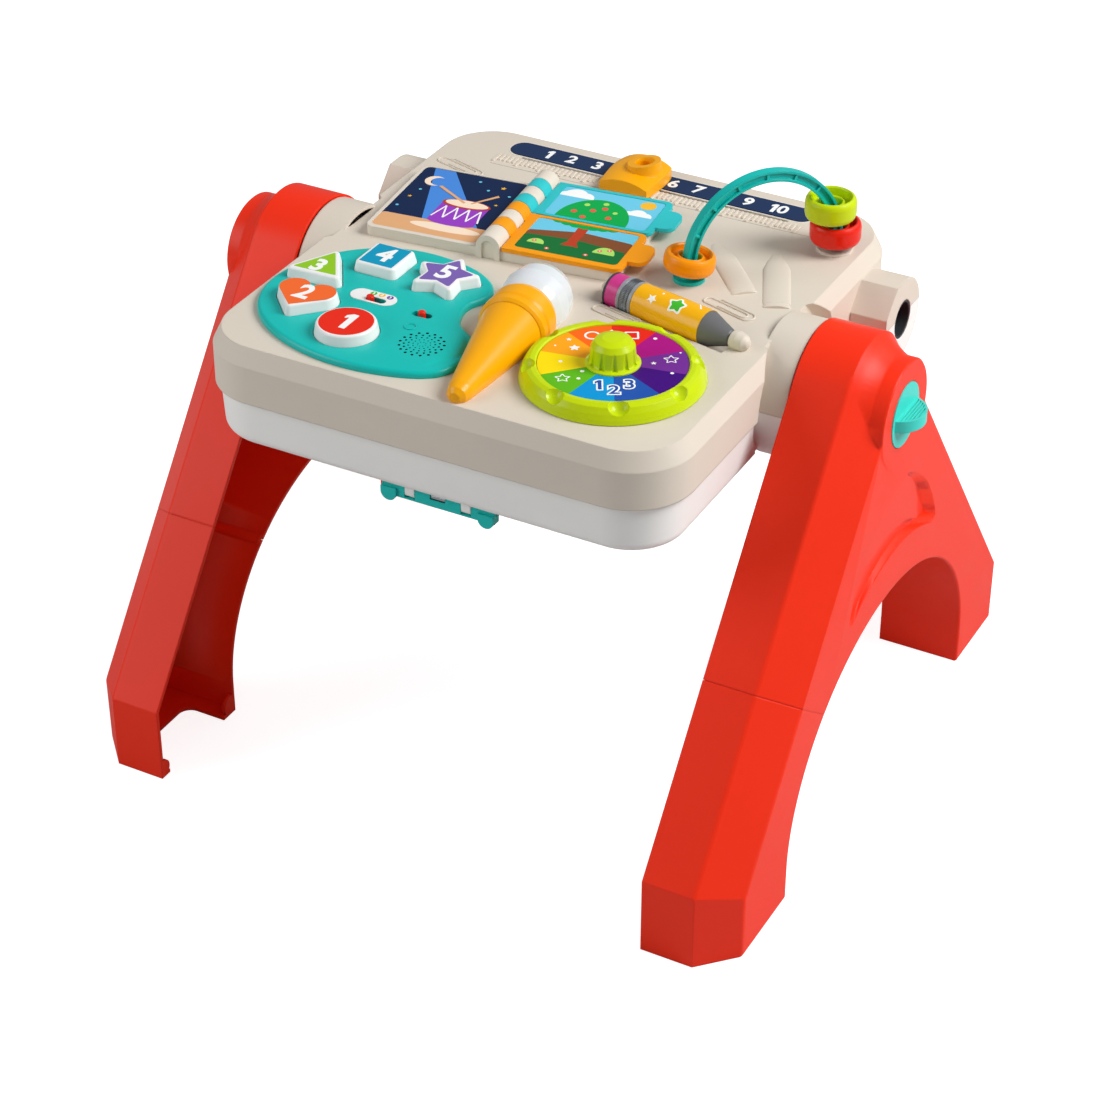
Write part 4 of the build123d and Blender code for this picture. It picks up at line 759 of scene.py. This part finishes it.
def wrapped(name, outline, x, around, material, lift=0.0, turn=0.0):
    """A print laid round the barrel: x along the pencil, around in degrees from its top."""
    flat = printed(name, [outline], Matrix.Rotation(radians(turn), 4, "Z"), "pencil_roller", material,
                   WRAP_DEPTH)
    edit(flat)
    bpy.ops.mesh.subdivide(number_cuts=3)
    bpy.ops.object.mode_set(mode="OBJECT")
    for point in flat.data.vertices:
        bend = point.co.y / (PENCIL_R * MM) + radians(around)
        reach = (PENCIL_R + WRAP_LIFT + lift) * MM + point.co.z
        point.co = PENCIL_PLACE @ Vector((point.co.x + x * MM, reach * sin(bend), reach * cos(bend)))
    flat.data.update()


def banded(name, outlines, x, length, material):
    """A band round the pencil, with flat outlines across it, x from the pencil's middle."""
    place = PENCIL_PLACE @ Matrix.Rotation(radians(90), 4, "Y") @ Matrix.Translation((0, 0, x * MM))
    printed(name, outlines, place, "pencil_roller", material, length)


def hollow_round(outside, inside):
    return [round_outline(outside, count=72), round_outline(inside, count=72)]


def ribbed_outline():
    """Square ribs all round: a low and a high step each."""
    outline = []
    for k in range(FERRULE_RIBS):
        for part, reach in ((0.0, RIB_FOOT), (0.5, RIB_TOP)):
            for edge in (0.0, RIB_SHARE):
                a = 2 * pi * (k + part + edge) / FERRULE_RIBS
                outline.append((reach * cos(a), reach * sin(a)))
    return outline


for side, around in (("front", -24), ("far", 156)):
    wrapped("pencil_badge_" + side, BADGE, BADGE_X, around, INK["white"])
    wrapped("pencil_badge_fill_" + side, BADGE_FILL, BADGE_X, around, INK["leaf"], BADGE_LIFT)
    wrapped("pencil_star_" + side, star_points(4.4, 2.1, turn=70), -12, around - 12, INK["white"])
    wrapped("pencil_dot_" + side, round_outline(1.0, count=20), -7, around + 22, INK["white"])
    wrapped("pencil_wave_" + side, pill_outline(9, 1.2), 26, around + 34, INK["white"], turn=-50)
banded("ferrule_ribs", [ribbed_outline(), round_outline(BAND_INSIDE)], FERRULE_X, FERRULE_LENGTH, RIBBED)
for k, x in enumerate(FERRULE_RINGS, start=1):
    banded(f"ferrule_ring_{k}", hollow_round(PENCIL_R + 0.3, BAND_INSIDE), x, RING_LENGTH,
           FINISH["pencil_silver"])
banded("eraser_rim", hollow_round(PENCIL_R - 0.1, ERASER_RIM_INSIDE), ERASER_END, ERASER_RIM_LENGTH,
       INK["graphite"])

# ---------------------------------------------------------------- book pictures
BOOK_PLACE = at(-67.0, 50.0, 0.0, 6.1)
LEFT_FLOOR, LEAF_TOP, LEAF_UNDER, BASE_RIGHT = 394.8, 398.8, 396.2, 395.3
LAYER_FIRST, LAYER_STEP, LAYER_THICK = 0.04, 0.035, 0.1
CLOUD_RISE = 1.25
CROWN_SAG, WAVE_HEIGHT, WAVE_LENGTH = 5, 1.4, 8


def pictured(name, shapes, body, floor, face_down=False):
    """A printed picture in the book's own frame, built up in thin layers from the floor of its recess."""
    for k, (colour, outlines) in enumerate(shapes):
        lift = LAYER_FIRST + LAYER_STEP * k
        height = floor - lift if face_down else floor + lift
        place = BOOK_PLACE @ Matrix.Translation((0, 0, height * MM))
        printed(f"{name}_{k + 1}", outlines, place, body, INK[colour], LAYER_THICK)


def sheet(left, right, near, far, corner=4.0):
    return rounded_corners([(left, near), (right, near), (right, far), (left, far)], corner)


def half_disc(x, y, radius, squash=1.0):
    return arc(x, y, radius, 0, 180, 24, squash)


def dots(places, radius, count=20):
    return [round_outline(radius, x, y, count) for x, y in places]


def stars(places):
    return [star_points(size, size * 0.45, x, y) for x, y, size in places]


def puffs(x, y, bumps, count=48):
    """A cloud: a flat foot and the upper outline of a row of discs (offset, radius)."""
    left = min(offset - radius for offset, radius in bumps)
    right = max(offset + radius for offset, radius in bumps)
    top = []
    for k in range(count + 1):
        u = right + (left - right) * k / count
        heights = [radius ** 2 - (u - offset) ** 2 for offset, radius in bumps]
        top.append((x + u, y + max(0.0, max(heights)) ** 0.5 * CLOUD_RISE))
    return top


def crescent(x, y, radius):
    """A new moon open to the right: an outer arc and a smaller circle's arc that meets its ends."""
    return (arc(x, y, radius, 50.3, 309.7, 20)
            + arc(x + 0.42 * radius, y, 0.8 * radius, 285.9, 74.1, 20)[1:-1])


def slanted(x, y, run, rise, width=1.4):
    """One stroke of a zigzag."""
    return [(x, y), (x + width, y), (x + run + width, y + rise), (x + run, y + rise)]


def leafy_edge(left, right, top):
    """The underside of a tree's crown, in small waves."""
    edge = []
    for x in range(left, right + 1, 2):
        sag = CROWN_SAG * sin(pi * (x - left) / (right - left))
        wave = WAVE_HEIGHT * abs(sin(pi * (x - left) / WAVE_LENGTH))
        edge.append((x, top - sag - wave))
    return edge


DRUM = [(-66, 0), (-66, -32)] + arc(-46, -32, 20, 180, 360, 16, 0.3) + [(-26, 0)]
DRUMSTICKS = [[(-80, 22), (-78, 24), (-48, 3), (-49.4, 1)],
              [(-26.5, 22), (-28.5, 24), (-44, 3.5), (-42.6, 2)]]
LEFT_PICTURE = [
    ("night", [sheet(-103.9, -13.1, -57.9, 51.9, 5)]),
    ("sand", [sheet(-103.9, -13.1, -57.9, -34, 3.5)]),
    ("beam", [[(-96, 51.4), (-78, 51.4), (-22, -34), (-70, -34)]]),
    ("cream", [round_outline(30, -46, -43, squash=0.2)]),
    ("cream", [crescent(-87, 30, 8.5)]),
    ("amber", stars([(-30, 38, 2.6), (-24, 8, 1.8), (-95, -2, 2.0)])),
    ("sky", dots([(-52, 42), (-20, 26), (-92, 12), (-98, -20), (-40, 30)], 1.3, 14)),
    ("violet", [DRUM]),
    ("white", [slanted(-66 + 10 * k, -27, 5, 20) for k in range(4)]),
    ("white", [slanted(-61 + 10 * k, -7, 5, -20) for k in range(4)]),
    ("rust", [round_outline(20.6, -46, 0, squash=0.36)]),
    ("cream", [round_outline(18.4, -46, 0.8, squash=0.32)]),
    ("sand", DRUMSTICKS),
]
TEAL_LEAF, ORANGE_LEAF = sheet(18.8, 104.2, 4.3, 54.7), sheet(18.8, 104.2, -57.2, -4.3)
TEAL_PICTURE = [
    ("sky", [TEAL_LEAF]),
    ("white", [puffs(31, 39, [(-8, 6), (0, 11), (9, 7.5)]), puffs(88, 26, [(-6, 5), (1, 8.5), (8, 5.5)])]),
    ("amber", [round_outline(6.5, 92, 46)]),
    ("crown", [half_disc(58, 4.6, 30, 1.25)]),
    ("lime", dots([(46, 30), (60, 36)], 2.4) + dots([(72, 24)], 2.0)),
    ("coral", dots([(40, 16), (54, 22), (70, 14), (62, 28), (50, 9)], 2.6)),
]
FLOWERS = [(84, -40), (91, -37), (30, -42), (76, -50), (44, -51)]
HILL = [(18.8, -40), (104.2, -40), (104.2, -20), (60, -16), (18.8, -26)]
MEADOW = [(18.8, -57.2), (104.2, -57.2), (104.2, -36), (62, -30), (18.8, -33)]
TRUNK = [(54, -4.4), (54.6, -34), (51, -41), (66, -41), (62.4, -34), (63, -4.4)]
ORANGE_PICTURE = [
    ("sky", [ORANGE_LEAF]),
    ("soil", [rounded_corners(HILL, 3)]),
    ("grass", [rounded_corners(MEADOW, 3.5)]),
    ("rust", [TRUNK]),
    ("crown", [leafy_edge(30, 86, -4.4)]),
    ("lime", [half_disc(88, -44, 9, 1.2), half_disc(32, -46, 7, 1.1)]),
    ("coral", dots(FLOWERS, 1.9, 16)),
    ("white", dots(FLOWERS, 0.8, 12)),
]
TEAL_UNDER = [
    ("amber", [TEAL_LEAF]),
    ("coral", [half_disc(61, 4.6, 26)]),
    ("white", [puffs(34, 42, [(-6, 4), (0, 6), (6, 5)]), puffs(86, 38, [(-5, 4), (1, 6), (7, 4.5)])]),
]
ORANGE_UNDER = [
    ("violet", [ORANGE_LEAF]),
    ("white", stars([(34, -20, 6), (60, -40, 8), (86, -18, 5)])),
]
RIGHT_PICTURE = [
    ("beam", [sheet(17, 103, -57, 53, 5)]),
    ("white", [puffs(40, 30, [(-8, 6), (0, 10), (9, 7)]), puffs(78, 4, [(-7, 5), (0, 8), (8, 6)])]),
    ("crown", [half_disc(60, -56.5, 34)]),
]
pictured("left_picture", LEFT_PICTURE, "tabletop", LEFT_FLOOR)
pictured("teal_picture", TEAL_PICTURE, "teal_page", LEAF_TOP)
pictured("orange_picture", ORANGE_PICTURE, "orange_page", LEAF_TOP)
pictured("teal_back", TEAL_UNDER, "teal_page", LEAF_UNDER, face_down=True)
pictured("orange_back", ORANGE_UNDER, "orange_page", LEAF_UNDER, face_down=True)
pictured("right_picture", RIGHT_PICTURE, "tabletop", BASE_RIGHT)

# ---------------------------------------------------------------- ruler
(STRIP_LEFT, STRIP_FRONT, DECK), (STRIP_RIGHT, STRIP_BACK, STRIP_TOP) = corners_of("ruler_strip")
STRIP_LENGTH, STRIP_WIDTH = STRIP_RIGHT - STRIP_LEFT, STRIP_BACK - STRIP_FRONT
STRIP_X, STRIP_Y = middle_of("ruler_strip")[:2]
BORDER_OUTER, BORDER_INNER = 3.4, 1.6     # how much longer and wider than the strip its pale border is
ONE_TO_NINE = (-105, -84, -60, -37, -13, 10, 32, 55, 77)
RULER_NUMBERS = [(str(k), str(k), x) for k, x in enumerate(ONE_TO_NINE, start=1)]
RULER_NUMBERS += [("one_of_10", "1", 99.6), ("nought_of_10", "0", 107.6)]
NUMBER_Y, NUMBER_Z, NUMBER_HEIGHT = 170.2, STRIP_TOP + 0.08, 13.0
TICK_GAP, FIRST_TICK, TICK_BACK, TICK_Z, TICK_THICK = 4.2, -142.0, 153.0, DECK + 0.3, 1.5
LONG_GAP = 5 * TICK_GAP
SHORT_TICK, LONG_TICK = (10.5, 1.9), (14.0, 2.2)          # length and width
BORDER_Z, BORDER_THICK = DECK + 0.12, 0.3
LINE_Z, LINE_THICK = DECK + 0.03, 0.12
FRONT_LINE = [(-142, 135.2), (145, 139.4), (145, 139.9), (-142, 135.7)]


def in_row(thing, count, gap):
    """Repeats a piece along X."""
    row = thing.modifiers.new("row", "ARRAY")
    row.count = count
    row.use_relative_offset = False
    row.use_constant_offset = True
    row.constant_offset_displace = (gap * MM, 0, 0)
    bpy.ops.object.modifier_apply(modifier=row.name)


def ruler_ticks(name, start, size, rows):
    """Raised ticks in front of the strip, repeated by each row in turn."""
    length, width = size
    bpy.ops.object.select_all(action="DESELECT")
    place = (start * MM, (TICK_BACK - length / 2) * MM, TICK_Z * MM)
    bpy.ops.mesh.primitive_cube_add(size=1, location=place)
    tick = bpy.context.object
    tick.name = "ruler_ticks_" + name
    tick.scale = (width * MM, length * MM, TICK_THICK * MM)
    bpy.ops.object.transform_apply(location=True, rotation=True, scale=True)
    rounding = tick.modifiers.new("round", "BEVEL")
    rounding.width = 0.25 * MM
    rounding.segments = 2
    bpy.ops.object.modifier_apply(modifier=rounding.name)
    for count, gap in rows:
        in_row(tick, count, gap)
    settle(tick, "tabletop", FINE_BEIGE)


for name, figure, x in RULER_NUMBERS:
    lettered("ruler_" + name, figure, at(x, NUMBER_Y, NUMBER_Z), NUMBER_HEIGHT, "tabletop", INK["white"],
             weight=0.5)
BORDER = [pill_outline(STRIP_LENGTH + wider, STRIP_WIDTH + wider, STRIP_X, STRIP_Y)
          for wider in (BORDER_OUTER, BORDER_INNER)]
printed("strip_border", BORDER, at(0, 0, BORDER_Z), "tabletop", INK["pale"], BORDER_THICK)
# the front line is a thin painted shadow along the front of the ruler
printed("ruler_front_line", [FRONT_LINE], at(0, 0, LINE_Z), "tabletop", INK["painted_seam_shadow"],
        LINE_THICK)
ruler_ticks("short", FIRST_TICK + TICK_GAP, SHORT_TICK, [(4, TICK_GAP), (13, LONG_GAP)])
ruler_ticks("long", FIRST_TICK, LONG_TICK, [(14, LONG_GAP)])

# ---------------------------------------------------------------- raised crayons and paper clips on the deck
CRAYON_STEPS = [    # share of the length, mm beyond it, share of the full radius
    (0, 0.8, 1.0), (0, 3.0, 1.0), (0, 3.4, 0.93), (0, 5.6, 0.93), (0, 6.0, 1.0),
    (0.70, 0, 1.0), (0.705, 0, 0.93), (0.745, 0, 0.93), (0.75, 0, 0.86),
    (0.80, 0, 0.80), (0.98, 0, 0.36), (1.0, 0, 0.22),
]
CRAYON_END, CRAYON_FLATNESS, CRAYON_SINK = 0.9, 0.26, 0.5     # shares of the radius, and mm
CRAYON_SMOOTH = radians(28)
WIRE_RADIUS, WIRE_GAP, WIRE_Z = 0.75, 2.4, DECK + 0.3
BACK_BEND, INNER_SHORTER = 0.24, 3.0          # share of the width, and mm
OUTER_FREE_END, INNER_FREE_END = 0.28, 0.2    # shares of the length, from the middle


def crayon_relief(name, base, tip, width):
    """A crayon lying half sunk in the deck: drawn out from its base end in steps, then flattened."""
    run = Vector(tip) - Vector(base)
    half = width / 2
    reach, radius = 0.0, half * CRAYON_END
    bpy.ops.object.select_all(action="DESELECT")
    bpy.ops.mesh.primitive_circle_add(vertices=64, radius=radius * MM, fill_type="NGON",
                                      rotation=(0, pi / 2, 0))
    crayon = bpy.context.object
    crayon.name = name
    bpy.ops.object.transform_apply(location=True, rotation=True, scale=True)
    edit(crayon)
    for share, beyond, fullness in CRAYON_STEPS:
        x, r = run.length * share + beyond, half * fullness
        grow = r / radius
        bpy.ops.mesh.extrude_region_move()
        bpy.ops.transform.translate(value=((x - reach) * MM, 0, 0))
        bpy.ops.transform.resize(value=(1, grow, grow), center_override=(x * MM, 0, 0))
        reach, radius = x, r
    bpy.ops.mesh.select_all(action="SELECT")
    bpy.ops.mesh.normals_make_consistent(inside=False)
    bpy.ops.object.mode_set(mode="OBJECT")
    bpy.ops.object.shade_smooth_by_angle(angle=CRAYON_SMOOTH)
    crayon.scale = (1, 1, CRAYON_FLATNESS)
    crayon.rotation_euler = (0, 0, atan2(run.y, run.x))
    crayon.location = (base[0] * MM, base[1] * MM, (DECK - CRAYON_SINK) * MM)
    settle(crayon, "tabletop", FINE_BEIGE)


def clip_relief(name, x, y, length, width, turn):
    """A bent-wire paper clip in low relief: an outer bend, a bend back and an inner bend."""
    outer = width / 2
    back = (outer + width * BACK_BEND) / 2
    inner = back - WIRE_GAP / 2
    back_y = back - outer
    inner_y = back_y + back - inner
    path = [(-length * OUTER_FREE_END, outer)]
    path += arc(length / 2 - outer, 0, outer, 90, -90, 12)
    path += arc(back - length / 2, back_y, back, 270, 90, 12)
    path += arc(length / 2 - outer - INNER_SHORTER, inner_y, inner, 90, -90, 12)
    path += [(-length * INNER_FREE_END, inner_y - inner)]
    curve = bpy.data.curves.new(name, "CURVE")
    curve.dimensions = "3D"
    curve.bevel_depth = WIRE_RADIUS * MM
    curve.bevel_resolution = 3
    curve.use_fill_caps = True
    add_line(curve, path, closed=False)
    wire = meshed(name, curve, at(x, y, WIRE_Z, turn))
    bpy.ops.object.shade_smooth()
    settle(wire, "tabletop", FINE_BEIGE)


crayon_relief("crayon_relief_1", (140, 30), (84, 94), 21)
crayon_relief("crayon_relief_2", (171, 21), (134, 102), 22)
clip_relief("clip_relief_1", -159.5, 117, 47, 12, -17)
clip_relief("clip_relief_2", 140, 3.5, 47, 12, -17)
clip_relief("clip_relief_3", 70, -46, 44, 12, -14)
